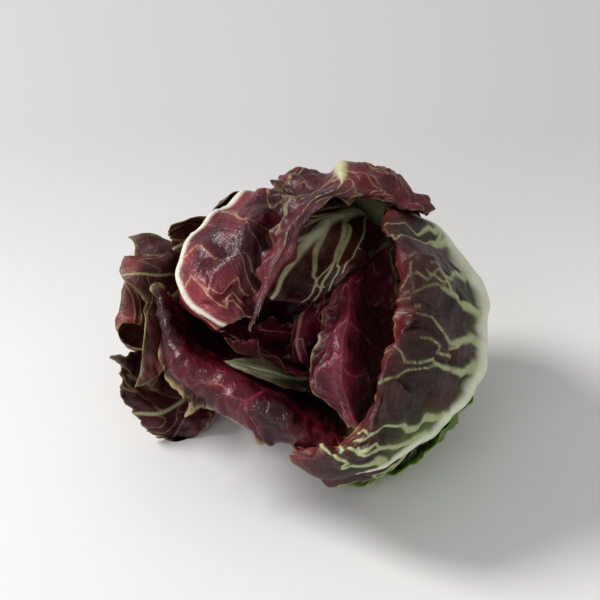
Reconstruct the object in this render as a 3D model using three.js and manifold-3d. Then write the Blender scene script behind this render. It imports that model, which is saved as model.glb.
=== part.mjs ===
/**
 * A head of radicchio that lies on its side with its mouth to the front.
 *
 * Frame: millimetres, +Z up, +X to the right and +Y to the back as one looks into the
 * mouth. The origin is under the middle of the head, on the surface that it rests on.
 *
 * A stump at the back carries every leaf. A leaf is a thin closed shell around one smooth
 * sheet. The sheet runs through stations, which are rows of points across the leaf, from
 * its foot on the stump to its tip. The leaves then settle: where two of them come too
 * close they push each other apart, inner leaf inwards and outer leaf outwards.
 */
import * as THREE from 'three';
import Module from 'manifold-3d';

// The stump, along the axis of the head, which points out of its cut end.
const STUMP = {
  foot: new THREE.Vector3(47, 62, 50),
  axis: new THREE.Vector3(0.29, 0.954, -0.072).normalize(),
  cutRadius: 11.5,
  cutHeight: 5,
  bevel: 1.2,
  tipRadius: 2.2,
  tipHeight: -22,
  sides: 20,
};

// How thick the leaves are. The rib is thick at the foot and thin at the tip.
const BLADE_THICKNESS = 1.0;
const RIB_THICKNESS = 1.7;
const RIB_WIDTH = 0.16;
const RIB_TAPER = 1.5;

// How finely a leaf is divided, along it and across it.
const STEPS_ALONG = 14;
const STEPS_ACROSS = 10;

// How the leaves settle: the free space that they keep, how often and how far they push,
// and how strongly neighbouring points share their shifts.
const LEAF_GAP = 0.9;
const STUMP_GAP = 0.5;
const SETTLE_ROUNDS = 80;
const SETTLE_REACH = 13;
const SETTLE_SIDE_REACH = 5;
const SETTLE_STEP = 0.4;
const SETTLE_EVENNESS = 0.5;
const LONGEST_PUSH = 1.2;

// Two leaves count as inner and outer where their faces agree better than this.
const SAME_WAY = 0.2;

// What stays free where a leaf has to be cut back from its outer neighbour.
const TRIM_GAP = 0.35;

// The sheets stay this high, so that a leaf on the surface has its outer face flat on it.
const FLOOR_HEIGHT = 0.1;

// Colours of the stump and of the sorts of leaf, and how dull they are.
const STUMP_COLOUR = 0xc9cfa6;
const STUMP_ROUGHNESS = 0.6;
const LEAF_ROUGHNESS = 0.4;
const HEART = 0x5c1026;
const PALE = 0x8c8c6a;
const GLOSSY = 0x6e2032;
const RIBBED = 0x6e4440;
const CAP = 0x6e2434;
const OUTER = 0x5a2230;
const WRAPPER = 0x5c4048;
const BROWN = 0x4a2426;

// The leaves from the heart outwards. A base says where the foot sits on the stump: its
// turn round the axis (0 to the right, 90 down), its spread either side, both in degrees,
// its height along the axis and its distance from it. A negative spread runs the stations
// the other way round. The stations' points are in the object's frame.
const LEAVES = [
  {
    name: 'heart_leaf_right',
    colour: HEART,
    base: { turn: 140, spread: 34, height: -19, radius: 5.4 },
    stations: [
      [[13, 26, 38], [12, 28, 40], [11, 30, 42], [12, 32, 45], [13, 34, 47]],
      [[6, 11, 43], [2, 13, 44], [0, 16, 48], [2, 19, 51], [5, 21, 54]],
      [[2, -2, 48], [-3, -1, 51], [-5, 1, 55], [-4, 5, 59], [1, 7, 61]],
      [[0, -8, 52], [-4, -9, 56], [-5, -8, 61], [-4, -5, 63], [-1, 0, 63]],
    ],
  },
  {
    name: 'heart_leaf_front',
    colour: HEART,
    base: { turn: -50, spread: 34, height: -19, radius: 5.4 },
    stations: [
      [[25, 26, 47], [24, 27, 53], [25, 29, 57], [30, 31, 58], [35, 33, 56]],
      [[10, 9, 51], [8, 9, 59], [10, 10, 65], [15, 11, 67], [22, 14, 63]],
      [[-1, -2, 51], [-1, -4, 60], [3, -4, 66], [8, -4, 66], [15, -1, 61]],
      [[-6, -11, 49], [-4, -14, 57], [0, -15, 62], [5, -14, 61], [9, -11, 54]],
      [[-4, -16, 44], [-2, -18, 49], [1, -19, 52], [4, -19, 50], [7, -15, 45]],
    ],
  },
  {
    name: 'heart_leaf_left',
    colour: HEART,
    base: { turn: 150, spread: 36, height: -13, radius: 7.4 },
    stations: [
      [[20, 11, 48], [15, 18, 42], [10, 24, 38], [4, 30, 37], [-2, 35, 39]],
      [[7, -24, 53], [1, -14, 49], [-7, -4, 46], [-15, 9, 44], [-22, 20, 43]],
      [[-3, -29, 60], [-10, -20, 55], [-18, -9, 52], [-27, 3, 49], [-34, 15, 50]],
      [[-13, -27, 67], [-19, -19, 61], [-27, -10, 57], [-35, 0, 55], [-42, 12, 55]],
      [[-20, -23, 74], [-25, -18, 67], [-32, -11, 62], [-40, -1, 60], [-46, 10, 61]],
    ],
  },
  {
    name: 'pale_inner_leaf',
    colour: PALE,
    base: { turn: 88, spread: -36, height: -13, radius: 7.4 },
    stations: [
      [[15, 36, 34], [18, 32, 31], [21, 28, 30], [25, 23, 31], [28, 18, 31]],
      [[3, 13, 34], [5, 6, 34], [8, -1, 35], [12, -8, 36], [15, -15, 36]],
      [[-7, -2, 41], [-5, -9, 43], [-3, -17, 44], [-1, -23, 45], [2, -28, 45]],
      [[-17, -6, 46], [-16, -12, 47], [-15, -19, 48], [-14, -25, 49], [-12, -30, 49]],
      [[-27, -9, 49], [-27, -13, 49], [-27, -17, 50], [-26, -21, 51], [-25, -24, 51]],
      [[-34, -14, 49], [-34, -15, 49], [-33, -17, 50], [-33, -19, 50], [-32, -20, 50]],
    ],
  },
  {
    name: 'inner_right_leaf',
    colour: GLOSSY,
    base: { turn: -25, spread: 36, height: -13, radius: 7.4 },
    stations: [
      [[36, 33, 64], [38, 35, 64], [39, 36, 64], [41, 38, 63], [43, 40, 62], [45, 42, 61],
        [46, 43, 60]],
      [[20, 19, 73], [22, 18, 77], [25, 18, 79], [28, 21, 77], [32, 27, 76], [37, 33, 76],
        [42, 38, 75]],
      [[13, 4, 76], [17, 1, 82], [21, 0, 84], [25, 3, 82], [29, 13, 72], [36, 21, 69],
        [43, 27, 69]],
      [[10, -9, 75], [15, -12, 81], [20, -14, 84], [26, -10, 80], [29, 2, 68], [37, 12, 61],
        [44, 17, 61]],
      [[7, -21, 72], [13, -24, 77], [20, -26, 80], [26, -22, 75], [30, -10, 63], [37, -3, 57],
        [43, 2, 56]],
      [[3, -32, 67], [11, -35, 72], [19, -37, 74], [26, -33, 70], [30, -22, 58], [35, -16, 52],
        [41, -12, 51]],
      [[5, -41, 62], [12, -44, 66], [19, -46, 68], [26, -42, 63], [29, -33, 54], [33, -28, 47],
        [38, -25, 46]],
      [[12, -50, 58], [16, -52, 60], [21, -52, 61], [25, -50, 58], [28, -43, 50], [31, -38, 43],
        [34, -36, 42]],
      [[20, -58, 50], [22, -59, 51], [23, -59, 51], [24, -59, 50], [25, -57, 48], [27, -54, 45],
        [28, -52, 43]],
    ],
  },
  {
    name: 'inner_back_leaf',
    colour: RIBBED,
    base: { turn: -105, spread: 36, height: -13, radius: 7.4 },
    stations: [
      [[22, 57, 87], [26, 55, 84], [31, 52, 81], [36, 49, 76], [41, 46, 71]],
      [[8, 40, 101], [14, 40, 95], [21, 39, 90], [29, 34, 86], [37, 30, 80]],
      [[-3, 27, 102], [4, 28, 95], [12, 26, 89], [19, 21, 86], [26, 15, 86]],
      [[-10, 15, 96], [-4, 17, 89], [4, 15, 84], [12, 11, 81], [19, 7, 81]],
      [[-16, 3, 91], [-11, 4, 85], [-4, 4, 80], [3, 4, 77], [12, 3, 73]],
      [[-19, -9, 87], [-15, -6, 82], [-11, -5, 78], [-5, -4, 76], [2, -3, 74]],
    ],
  },
  {
    name: 'left_cap_leaf',
    colour: CAP,
    base: { turn: -140, spread: -36, height: -8, radius: 9.4 },
    stations: [
      [[23, 48, 86], [17, 54, 84], [11, 59, 82], [5, 61, 78], [-1, 62, 74], [-4, 60, 69],
        [-4, 55, 64]],
      [[10, 33, 102], [2, 40, 101], [-7, 45, 100], [-15, 48, 98], [-24, 50, 93], [-28, 48, 85],
        [-29, 43, 78]],
      [[2, 21, 106], [-6, 24, 107], [-14, 27, 107], [-23, 30, 105], [-34, 35, 99], [-38, 37, 89],
        [-39, 32, 82]],
      [[-3, 14, 101], [-12, 12, 105], [-21, 11, 109], [-32, 14, 107], [-45, 21, 98], [-48, 23, 89],
        [-48, 21, 81]],
      [[-8, 6, 94], [-16, 3, 99], [-26, 0, 105], [-38, 1, 104], [-52, 8, 92], [-51, 12, 83],
        [-49, 11, 75]],
      [[-14, -2, 86], [-22, -7, 94], [-30, -11, 98], [-40, -10, 97], [-50, -4, 86], [-50, -1, 77],
        [-47, 0, 69]],
      [[-18, -12, 82], [-24, -16, 87], [-31, -19, 91], [-38, -20, 90], [-43, -15, 82],
        [-44, -12, 74], [-41, -9, 67]],
      [[-22, -21, 80], [-25, -24, 83], [-27, -26, 84], [-30, -26, 83], [-33, -24, 81],
        [-35, -21, 75], [-33, -18, 69]],
    ],
  },
  {
    name: 'front_fold_leaf',
    colour: GLOSSY,
    base: { turn: 95, spread: -36, height: -8, radius: 9.4 },
    stations: [
      [[-3, 50, 41], [1, 49, 35], [6, 45, 31], [12, 40, 28], [19, 33, 26], [27, 25, 26],
        [35, 18, 27], [44, 9, 27]],
      [[-35, 40, 42], [-28, 34, 32], [-21, 25, 27], [-11, 14, 27], [-1, 3, 27], [10, -8, 26],
        [22, -18, 25], [32, -26, 26]],
      [[-50, 29, 54], [-42, 21, 44], [-35, 10, 38], [-23, 0, 38], [-12, -12, 38], [1, -22, 37],
        [14, -30, 34], [25, -44, 32]],
      [[-57, 17, 69], [-52, 2, 61], [-45, -10, 55], [-34, -19, 54], [-22, -28, 52], [-7, -38, 50],
        [9, -44, 43], [20, -54, 36]],
      [[-60, 8, 79], [-56, -10, 72], [-50, -23, 67], [-38, -34, 65], [-25, -43, 63], [-11, -53, 59],
        [5, -56, 48], [18, -60, 37]],
      [[-62, 7, 77], [-58, -12, 69], [-55, -27, 62], [-45, -39, 57], [-32, -45, 57], [-17, -55, 52],
        [2, -57, 46], [15, -60, 35]],
      [[-61, 9, 72], [-59, -9, 63], [-55, -26, 54], [-47, -38, 45], [-35, -44, 47], [-18, -53, 41],
        [2, -54, 41], [12, -55, 29]],
    ],
  },
  {
    name: 'back_leaf',
    colour: OUTER,
    base: { turn: -125, spread: 34, height: -4, radius: 11.2 },
    stations: [
      [[2, 70, 37], [4, 75, 43], [6, 78, 51], [11, 78, 61], [17, 77, 70]],
      [[-26, 69, 46], [-25, 72, 54], [-23, 72, 65], [-21, 69, 78], [-17, 63, 91]],
      [[-41, 60, 52], [-43, 61, 60], [-43, 59, 70], [-41, 55, 82], [-35, 50, 93]],
      [[-52, 50, 57], [-55, 49, 64], [-55, 48, 72], [-54, 42, 80], [-48, 40, 90]],
      [[-60, 42, 64], [-62, 41, 69], [-63, 39, 74], [-61, 38, 80], [-58, 34, 85]],
    ],
  },
  {
    name: 'right_wrapper_leaf',
    colour: WRAPPER,
    base: { turn: 0, spread: 36, height: -4, radius: 11.2 },
    stations: [
      [[37, 50, 82], [40, 51, 81], [45, 51, 79], [51, 53, 72], [56, 54, 62], [58, 56, 52],
        [58, 57, 43], [55, 55, 37]],
      [[41, 21, 109], [44, 19, 110], [49, 21, 107], [56, 30, 95], [63, 41, 77], [65, 47, 63],
        [62, 50, 50], [57, 51, 39]],
      [[34, 14, 107], [38, 6, 110], [47, 7, 107], [60, 17, 94], [71, 27, 73], [73, 34, 57],
        [69, 38, 42], [62, 40, 30]],
      [[39, 5, 103], [47, -7, 109], [56, -7, 106], [68, 1, 91], [78, 10, 69], [79, 17, 52],
        [75, 21, 37], [65, 24, 25]],
      [[40, -4, 96], [49, -16, 106], [58, -18, 100], [71, -13, 85], [81, -4, 61], [80, 3, 44],
        [74, 8, 30], [64, 11, 19]],
      [[40, -16, 90], [47, -28, 99], [57, -30, 93], [68, -26, 77], [79, -16, 53], [76, -10, 37],
        [69, -5, 24], [58, -2, 15]],
      [[38, -28, 84], [45, -39, 93], [52, -44, 85], [64, -40, 68], [73, -27, 46], [69, -23, 31],
        [61, -18, 20], [50, -15, 12]],
      [[35, -44, 76], [38, -53, 83], [45, -57, 75], [55, -52, 61], [65, -40, 42], [59, -33, 28],
        [52, -30, 18], [40, -26, 11]],
      [[30, -55, 66], [33, -65, 73], [38, -69, 67], [46, -64, 55], [53, -51, 39], [48, -44, 26],
        [40, -41, 17], [30, -37, 11]],
      [[21, -64, 54], [25, -75, 59], [27, -76, 56], [31, -75, 52], [35, -70, 44], [35, -63, 31],
        [31, -55, 20], [22, -46, 11]],
      [[12, -66, 49], [12, -76, 53], [15, -78, 50], [18, -77, 45], [21, -73, 38], [22, -66, 27],
        [19, -58, 19], [11, -47, 12]],
      [[1, -63, 45], [1, -73, 46], [2, -74, 44], [3, -73, 41], [5, -70, 36], [7, -65, 29],
        [5, -55, 22], [2, -46, 18]],
      [[-2, -59, 44], [-3, -65, 46], [-4, -66, 44], [-4, -65, 41], [-4, -63, 37], [-2, -59, 33],
        [-2, -53, 28], [-2, -45, 25]],
    ],
  },
  {
    name: 'hood_leaf',
    colour: OUTER,
    base: { turn: -75, spread: 36, height: 0, radius: 12.8 },
    stations: [
      [[5, 66, 73], [12, 70, 76], [20, 72, 78], [29, 72, 78], [38, 70, 75], [47, 66, 72],
        [54, 61, 68]],
      [[-8, 53, 101], [0, 54, 105], [10, 50, 104], [19, 51, 108], [30, 51, 108], [42, 50, 104],
        [55, 45, 92]],
      [[-10, 32, 109], [-3, 32, 114], [6, 29, 114], [18, 34, 117], [31, 32, 117], [45, 31, 112],
        [59, 28, 101]],
      [[-12, 19, 112], [-5, 19, 116], [4, 18, 118], [14, 21, 121], [25, 22, 120], [36, 23, 116],
        [44, 22, 109]],
      [[-8, 10, 110], [-4, 9, 114], [1, 9, 117], [7, 12, 120], [14, 14, 121], [21, 16, 121],
        [27, 17, 117]],
      [[-13, 1, 104], [-10, -1, 108], [-6, -1, 113], [-2, 1, 116], [3, 5, 118], [8, 9, 120],
        [14, 12, 121]],
      [[-17, -10, 98], [-15, -12, 103], [-11, -12, 106], [-8, -10, 109], [-4, -6, 111],
        [1, -2, 114], [5, 3, 116]],
      [[-20, -21, 91], [-18, -23, 95], [-15, -22, 98], [-13, -21, 101], [-10, -18, 104],
        [-6, -14, 106], [-2, -8, 108]],
      [[-23, -32, 83], [-22, -33, 86], [-21, -33, 88], [-19, -31, 89], [-17, -29, 92],
        [-15, -25, 93], [-12, -21, 96]],
    ],
  },
  {
    name: 'left_ruffle_leaf',
    colour: BROWN,
    base: { turn: 150, spread: -36, height: -4, radius: 11.2 },
    stations: [
      [[2, 55, 47], [-1, 55, 42], [-3, 54, 38], [-4, 51, 34], [-4, 46, 29], [-2, 38, 25],
        [2, 27, 22]],
      [[-23, 51, 58], [-29, 50, 54], [-35, 47, 49], [-40, 41, 45], [-41, 32, 39], [-41, 20, 33],
        [-39, 6, 27]],
      [[-37, 41, 72], [-42, 37, 71], [-47, 31, 70], [-50, 26, 67], [-52, 19, 60], [-52, 5, 52],
        [-50, -9, 45]],
      [[-49, 37, 78], [-53, 30, 78], [-57, 22, 80], [-60, 15, 78], [-59, 10, 70], [-59, -3, 62],
        [-60, -20, 52]],
      [[-62, 37, 80], [-63, 28, 81], [-68, 20, 82], [-69, 13, 80], [-62, 5, 72], [-64, -10, 63],
        [-66, -28, 50]],
      [[-73, 38, 80], [-69, 28, 80], [-77, 20, 81], [-76, 13, 78], [-65, 2, 72], [-69, -15, 62],
        [-72, -30, 49]],
    ],
  },
  {
    name: 'left_curl_leaf',
    colour: BROWN,
    base: { turn: 185, spread: 34, height: 0, radius: 12.8 },
    stations: [
      [[-15, 47, 25], [-18, 53, 27], [-21, 59, 30], [-22, 62, 37], [-23, 62, 45], [-23, 61, 54],
        [-22, 59, 63]],
      [[-42, 30, 30], [-45, 36, 30], [-48, 42, 34], [-50, 46, 42], [-51, 50, 53], [-48, 52, 59],
        [-45, 54, 63]],
      [[-59, 18, 41], [-65, 17, 38], [-73, 15, 39], [-78, 18, 45], [-79, 24, 56], [-74, 32, 60],
        [-66, 38, 57]],
      [[-62, 6, 47], [-66, 4, 45], [-73, 1, 46], [-78, 4, 48], [-79, 9, 53], [-75, 14, 56],
        [-69, 18, 53]],
      [[-65, -3, 53], [-68, -6, 53], [-74, -8, 53], [-78, -5, 55], [-79, 0, 56], [-76, 4, 56],
        [-71, 7, 53]],
    ],
  },
  {
    name: 'left_floor_leaf',
    colour: OUTER,
    base: { turn: 115, spread: 34, height: 0, radius: 12.8 },
    stations: [
      [[23, 25, 11], [16, 38, 7], [7, 50, 8], [-2, 59, 15], [-8, 64, 28]],
      [[-4, 12, 6], [-12, 26, 0], [-20, 37, 1], [-28, 47, 10], [-34, 54, 25]],
      [[-27, 3, 7], [-35, 13, 2], [-42, 22, 4], [-50, 30, 14], [-56, 37, 30]],
      [[-39, -4, 4], [-48, 1, 3], [-56, 5, 8], [-64, 12, 19], [-70, 16, 36]],
      [[-52, -9, -1], [-59, -7, 0], [-66, -4, 12], [-72, 0, 24], [-77, 6, 40]],
      [[-64, -8, 1], [-69, -8, 5], [-74, -8, 16], [-78, -4, 28], [-82, 1, 44]],
    ],
  },
  {
    name: 'under_leaf',
    colour: WRAPPER,
    base: { turn: 40, spread: 34, height: 1, radius: 13.2 },
    stations: [
      [[72, 41, 47], [71, 44, 31], [64, 44, 17], [52, 41, 5], [39, 39, 1]],
      [[82, 12, 43], [79, 16, 25], [68, 18, 9], [53, 17, 0], [38, 13, 0]],
      [[81, -12, 39], [74, -9, 21], [62, -6, 6], [45, -2, -1], [29, -4, -1]],
      [[72, -28, 33], [64, -24, 19], [52, -20, 6], [36, -17, 0], [20, -16, 0]],
      [[58, -43, 28], [51, -39, 17], [40, -35, 7], [27, -30, 2], [13, -28, 1]],
      [[45, -53, 22], [38, -51, 15], [30, -46, 8], [21, -42, 4], [12, -37, 2]],
    ],
  },
];

/** The two directions across the stump that a turn is measured from. */
function stumpDirections() {
  const right = new THREE.Vector3(1, 0, 0);
  right.addScaledVector(STUMP.axis, -right.dot(STUMP.axis)).normalize();
  const down = new THREE.Vector3().crossVectors(STUMP.axis, right).normalize();
  return { right, down };
}

const { right: STUMP_RIGHT, down: STUMP_DOWN } = stumpDirections();

/** A point at a turn (degrees), height and radius from the stump's foot. */
function stumpPoint(turn, height, radius) {
  const angle = THREE.MathUtils.degToRad(turn);
  return STUMP.foot.clone()
    .addScaledVector(STUMP.axis, height)
    .addScaledVector(STUMP_RIGHT, radius * Math.cos(angle))
    .addScaledVector(STUMP_DOWN, radius * Math.sin(angle));
}

/** The row of points where a leaf's foot meets the stump. */
function footRow(base, count) {
  const row = [];
  for (let i = 0; i < count; i += 1) {
    const across = -1 + (2 * i) / (count - 1);
    row.push(stumpPoint(base.turn + across * base.spread, base.height, base.radius));
  }
  return row;
}

/** One point on the smooth curve through a list of points, at t from 0 to 1. */
function curvePoint(points, t) {
  const last = points.length - 1;
  const place = Math.min(Math.max(t, 0), 1) * last;
  const i = Math.min(Math.floor(place), last - 1);
  const f = place - i;
  const b = points[i];
  const c = points[i + 1];
  const a = i > 0 ? points[i - 1] : b.clone().multiplyScalar(2).sub(c);
  const d = i + 2 <= last ? points[i + 2] : c.clone().multiplyScalar(2).sub(b);
  const wa = -0.5 * f ** 3 + f ** 2 - 0.5 * f;
  const wb = 1.5 * f ** 3 - 2.5 * f ** 2 + 1;
  const wc = -1.5 * f ** 3 + 2 * f ** 2 + 0.5 * f;
  const wd = 0.5 * f ** 3 - 0.5 * f ** 2;
  return new THREE.Vector3()
    .addScaledVector(a, wa)
    .addScaledVector(b, wb)
    .addScaledVector(c, wc)
    .addScaledVector(d, wd);
}

/** Curve parameters that cut the mean length of several curves into even steps. */
function evenParameters(curves, steps) {
  const spans = curves[0].length - 1;
  const reached = [0];
  for (let i = 0; i < spans; i += 1) {
    const lengths = curves.map((curve) => curve[i].distanceTo(curve[i + 1]));
    const mean = lengths.reduce((sum, length) => sum + length, 0) / lengths.length;
    reached.push(reached[i] + mean);
  }
  const parameters = [];
  for (let k = 0; k <= steps; k += 1) {
    const target = (reached[spans] * k) / steps;
    let i = 0;
    while (i < spans - 1 && reached[i + 1] < target) {
      i += 1;
    }
    const f = (target - reached[i]) / (reached[i + 1] - reached[i]);
    parameters.push((i + f) / spans);
  }
  return parameters;
}

/** Rows become columns. */
function transpose(grid) {
  return grid[0].map((_, j) => grid.map((row) => row[j]));
}

/** The grid of points on a leaf's smooth sheet, foot first. */
function sheetGrid(leaf) {
  const stations = leaf.stations.map((row) => row.map((p) => new THREE.Vector3(...p)));
  const rows = [footRow(leaf.base, stations[0].length), ...stations];
  const rails = transpose(rows);
  const along = evenParameters(rails, STEPS_ALONG);
  const grid = along.map((t) => rails.map((rail) => curvePoint(rail, t)));
  const across = evenParameters(grid, STEPS_ACROSS);
  return grid.map((row) => across.map((t) => curvePoint(row, t)));
}

/** The normal at each point of a grid, turned over where side is -1. */
function gridNormals(grid, side) {
  const rows = grid.length;
  const columns = grid[0].length;
  return grid.map((row, i) => row.map((_, j) => {
    const along = grid[Math.min(i + 1, rows - 1)][j].clone().sub(grid[Math.max(i - 1, 0)][j]);
    const across = row[Math.min(j + 1, columns - 1)].clone().sub(row[Math.max(j - 1, 0)]);
    return along.cross(across).normalize().multiplyScalar(side);
  }));
}

/** How far from the middle rib a column is, 0 on the rib and 1 at the margin. */
function ribDistance(j) {
  return Math.abs(-1 + (2 * j) / STEPS_ACROSS);
}

/** Half the leaf's thickness at a point of its grid. */
function halfThickness(i, j) {
  const towardsTip = i / STEPS_ALONG;
  const rib = Math.exp(-((ribDistance(j) / RIB_WIDTH) ** 2));
  return 0.5 * (BLADE_THICKNESS + RIB_THICKNESS * rib * (1 - towardsTip) ** RIB_TAPER);
}

/** The point of a grid that is nearest to a place, as its row and column. */
function nearest(grid, place) {
  let best = Infinity;
  let found = [0, 0];
  grid.forEach((row, i) => row.forEach((p, j) => {
    const distance = p.distanceToSquared(place);
    if (distance < best) {
      best = distance;
      found = [i, j];
    }
  }));
  return { i: found[0], j: found[1], distance: Math.sqrt(best) };
}

/** A leaf ready to settle: its grid, its outward side and its pushes. */
function settlingLeaf(leaf) {
  const grid = sheetGrid(leaf);
  return {
    grid,
    start: grid.map((row) => row.map((p) => p.clone())),
    push: grid.map((row) => row.map(() => new THREE.Vector3())),
    pushes: grid.map((row) => row.map(() => 0)),
    side: Math.sign(leaf.base.spread),
    normals: [],
    box: new THREE.Box3(),
  };
}

/** Adds to each point's push what keeps leaf a on its side (1 outside, -1 inside) of b. */
function pushApart(a, b, side) {
  for (let i = 1; i <= STEPS_ALONG; i += 1) {
    for (let j = 0; j <= STEPS_ACROSS; j += 1) {
      const p = a.grid[i][j];
      if (b.box.containsPoint(p)) {
        const near = nearest(b.grid, p);
        const normal = b.normals[near.i][near.j];
        const offset = p.clone().sub(b.grid[near.i][near.j]);
        const height = offset.dot(normal);
        const aside = Math.sqrt(Math.max(near.distance ** 2 - height ** 2, 0));
        const together = a.normals[i][j].dot(normal) > SAME_WAY;
        const facing = together ? side : Math.sign(height);
        const above = height * facing;
        const room = halfThickness(i, j) + halfThickness(near.i, near.j) + LEAF_GAP;
        if (aside < SETTLE_SIDE_REACH && above < room && above > -SETTLE_REACH) {
          const push = SETTLE_STEP * (room - above) * facing;
          a.push[i][j].addScaledVector(normal, push);
          a.pushes[i][j] += 1;
          b.push[near.i][near.j].addScaledVector(normal, -push);
          b.pushes[near.i][near.j] += 1;
        }
      }
    }
  }
}

/** Moves a point out of the stump, by the shortest way from its axis. */
function keepOffStump(p, half) {
  const fromFoot = p.clone().sub(STUMP.foot);
  const height = fromFoot.dot(STUMP.axis);
  const radial = fromFoot.addScaledVector(STUMP.axis, -height);
  const share = (height - STUMP.tipHeight) / (STUMP.cutHeight - STUMP.tipHeight);
  const coneRadius = THREE.MathUtils.lerp(STUMP.tipRadius, STUMP.cutRadius, share);
  const clear = coneRadius + half + STUMP_GAP;
  const radius = radial.length();
  if (share > 0 && share < 1 && radius < clear) {
    p.addScaledVector(radial.normalize(), clear - radius);
  }
}

/** Moves a leaf by its pushes, then evens out how far neighbouring points have moved. */
function applyPushes(leaf) {
  const moved = leaf.grid.map((row, i) => row.map((p, j) => {
    const mean = leaf.push[i][j].divideScalar(Math.max(leaf.pushes[i][j], 1));
    const shift = p.clone().add(mean.clampLength(0, LONGEST_PUSH)).sub(leaf.start[i][j]);
    leaf.push[i][j].set(0, 0, 0);
    leaf.pushes[i][j] = 0;
    return shift;
  }));
  leaf.grid.forEach((row, i) => row.forEach((p, j) => {
    if (i > 0) {
      const up = moved[Math.min(i + 1, STEPS_ALONG)][j];
      const down = moved[i - 1][j];
      const left = moved[i][Math.max(j - 1, 0)];
      const right = moved[i][Math.min(j + 1, STEPS_ACROSS)];
      const mean = up.clone().add(down).add(left).add(right).multiplyScalar(0.25);
      p.copy(leaf.start[i][j]).add(moved[i][j].clone().lerp(mean, SETTLE_EVENNESS));
      keepOffStump(p, halfThickness(i, j));
      p.z = Math.max(p.z, FLOOR_HEIGHT);
    }
  }));
}

/** Lets all the leaves push each other apart until they lie free. */
function settle(leaves) {
  for (let round = 0; round < SETTLE_ROUNDS; round += 1) {
    leaves.forEach((leaf) => {
      leaf.normals = gridNormals(leaf.grid, leaf.side);
      leaf.box.makeEmpty();
      leaf.grid.flat().forEach((p) => leaf.box.expandByPoint(p));
      leaf.box.expandByScalar(SETTLE_SIDE_REACH);
    });
    leaves.forEach((inner, k) => leaves.slice(k + 1).forEach((outer) => {
      pushApart(outer, inner, 1);
      pushApart(inner, outer, -1);
    }));
    leaves.forEach(applyPushes);
  }
}

/** The number of a vertex: face 0 or 1 of the shell, row i and column j of its grid. */
function vertexNumber(face, i, j) {
  const columns = STEPS_ACROSS + 1;
  return (face * (STEPS_ALONG + 1) + i) * columns + j;
}

/** The triangles of the shell's two faces. */
function sheetFaces() {
  const faces = [];
  for (let i = 0; i < STEPS_ALONG; i += 1) {
    for (let j = 0; j < STEPS_ACROSS; j += 1) {
      const [a, b, c, d] = [[i, j], [i + 1, j], [i + 1, j + 1], [i, j + 1]];
      [[a, b, c], [a, c, d]].forEach((corners) => {
        corners.forEach((corner) => faces.push(vertexNumber(0, ...corner)));
        corners.reverse().forEach((corner) => faces.push(vertexNumber(1, ...corner)));
      });
    }
  }
  return faces;
}

/** The triangles that close the shell round its margins, foot and tip. */
function rimFaces() {
  const faces = [];
  const edge = (a, b) => {
    faces.push(vertexNumber(0, ...a), vertexNumber(0, ...b), vertexNumber(1, ...b));
    faces.push(vertexNumber(0, ...a), vertexNumber(1, ...b), vertexNumber(1, ...a));
  };
  for (let i = 0; i < STEPS_ALONG; i += 1) {
    edge([i + 1, 0], [i, 0]);
    edge([i, STEPS_ACROSS], [i + 1, STEPS_ACROSS]);
  }
  for (let j = 0; j < STEPS_ACROSS; j += 1) {
    edge([0, j], [0, j + 1]);
    edge([STEPS_ALONG, j + 1], [STEPS_ALONG, j]);
  }
  return faces;
}

/** The closed shell around a settled sheet, with its lowest points flat on the surface. */
function leafGeometry(leaf, extra = 0) {
  const normals = gridNormals(leaf.grid, 1);
  const positions = [];
  [1, -1].forEach((face) => leaf.grid.forEach((row, i) => row.forEach((p, j) => {
    const offset = face * (halfThickness(i, j) + extra);
    const vertex = p.clone().addScaledVector(normals[i][j], offset);
    positions.push(vertex.x, vertex.y, Math.max(vertex.z, 0));
  })));
  const geometry = new THREE.BufferGeometry();
  geometry.setAttribute('position', new THREE.Float32BufferAttribute(positions, 3));
  geometry.setIndex([...sheetFaces(), ...rimFaces()]);
  geometry.computeVertexNormals();
  return geometry;
}

const manifold = await Module();
manifold.setup();

/** A solid made from a closed indexed geometry. */
function solidOf(geometry) {
  return new manifold.Manifold(new manifold.Mesh({
    numProp: 3,
    vertProperties: geometry.attributes.position.array,
    triVerts: Uint32Array.from(geometry.index.array),
  }));
}

/** The geometry of a solid. */
function geometryOf(solid) {
  const mesh = solid.getMesh();
  const geometry = new THREE.BufferGeometry();
  geometry.setAttribute('position', new THREE.BufferAttribute(mesh.vertProperties, 3));
  geometry.setIndex(new THREE.BufferAttribute(mesh.triVerts, 1));
  geometry.computeVertexNormals();
  return geometry;
}

/** The largest separate body of a solid. */
function largestBody(solid) {
  return solid.decompose().reduce((a, b) => (a.volume() > b.volume() ? a : b));
}

/** The leaves' solids. Where two still cross, the inner one is cut back from the outer. */
function trimmedSolids(leaves) {
  const solids = leaves.map((leaf) => solidOf(leafGeometry(leaf)));
  leaves.forEach((outer, k) => {
    const clearance = solidOf(leafGeometry(outer, TRIM_GAP));
    for (let m = 0; m < k; m += 1) {
      if (solids[m].intersect(solids[k]).volume() > 0) {
        solids[m] = largestBody(solids[m].subtract(clearance.add(solids[k])));
      }
    }
  });
  return solids;
}

/** The stump: a round cone with a bevelled cut end, on the axis of the head. */
function stumpGeometry() {
  const profile = [
    new THREE.Vector2(0, STUMP.tipHeight),
    new THREE.Vector2(STUMP.tipRadius, STUMP.tipHeight + STUMP.bevel),
    new THREE.Vector2(STUMP.cutRadius, STUMP.cutHeight - STUMP.bevel),
    new THREE.Vector2(STUMP.cutRadius - STUMP.bevel, STUMP.cutHeight),
    new THREE.Vector2(0, STUMP.cutHeight),
  ];
  const geometry = new THREE.LatheGeometry(profile, STUMP.sides);
  const turn = new THREE.Quaternion().setFromUnitVectors(new THREE.Vector3(0, 1, 0), STUMP.axis);
  geometry.applyQuaternion(turn);
  geometry.translate(STUMP.foot.x, STUMP.foot.y, STUMP.foot.z);
  return geometry;
}

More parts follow.
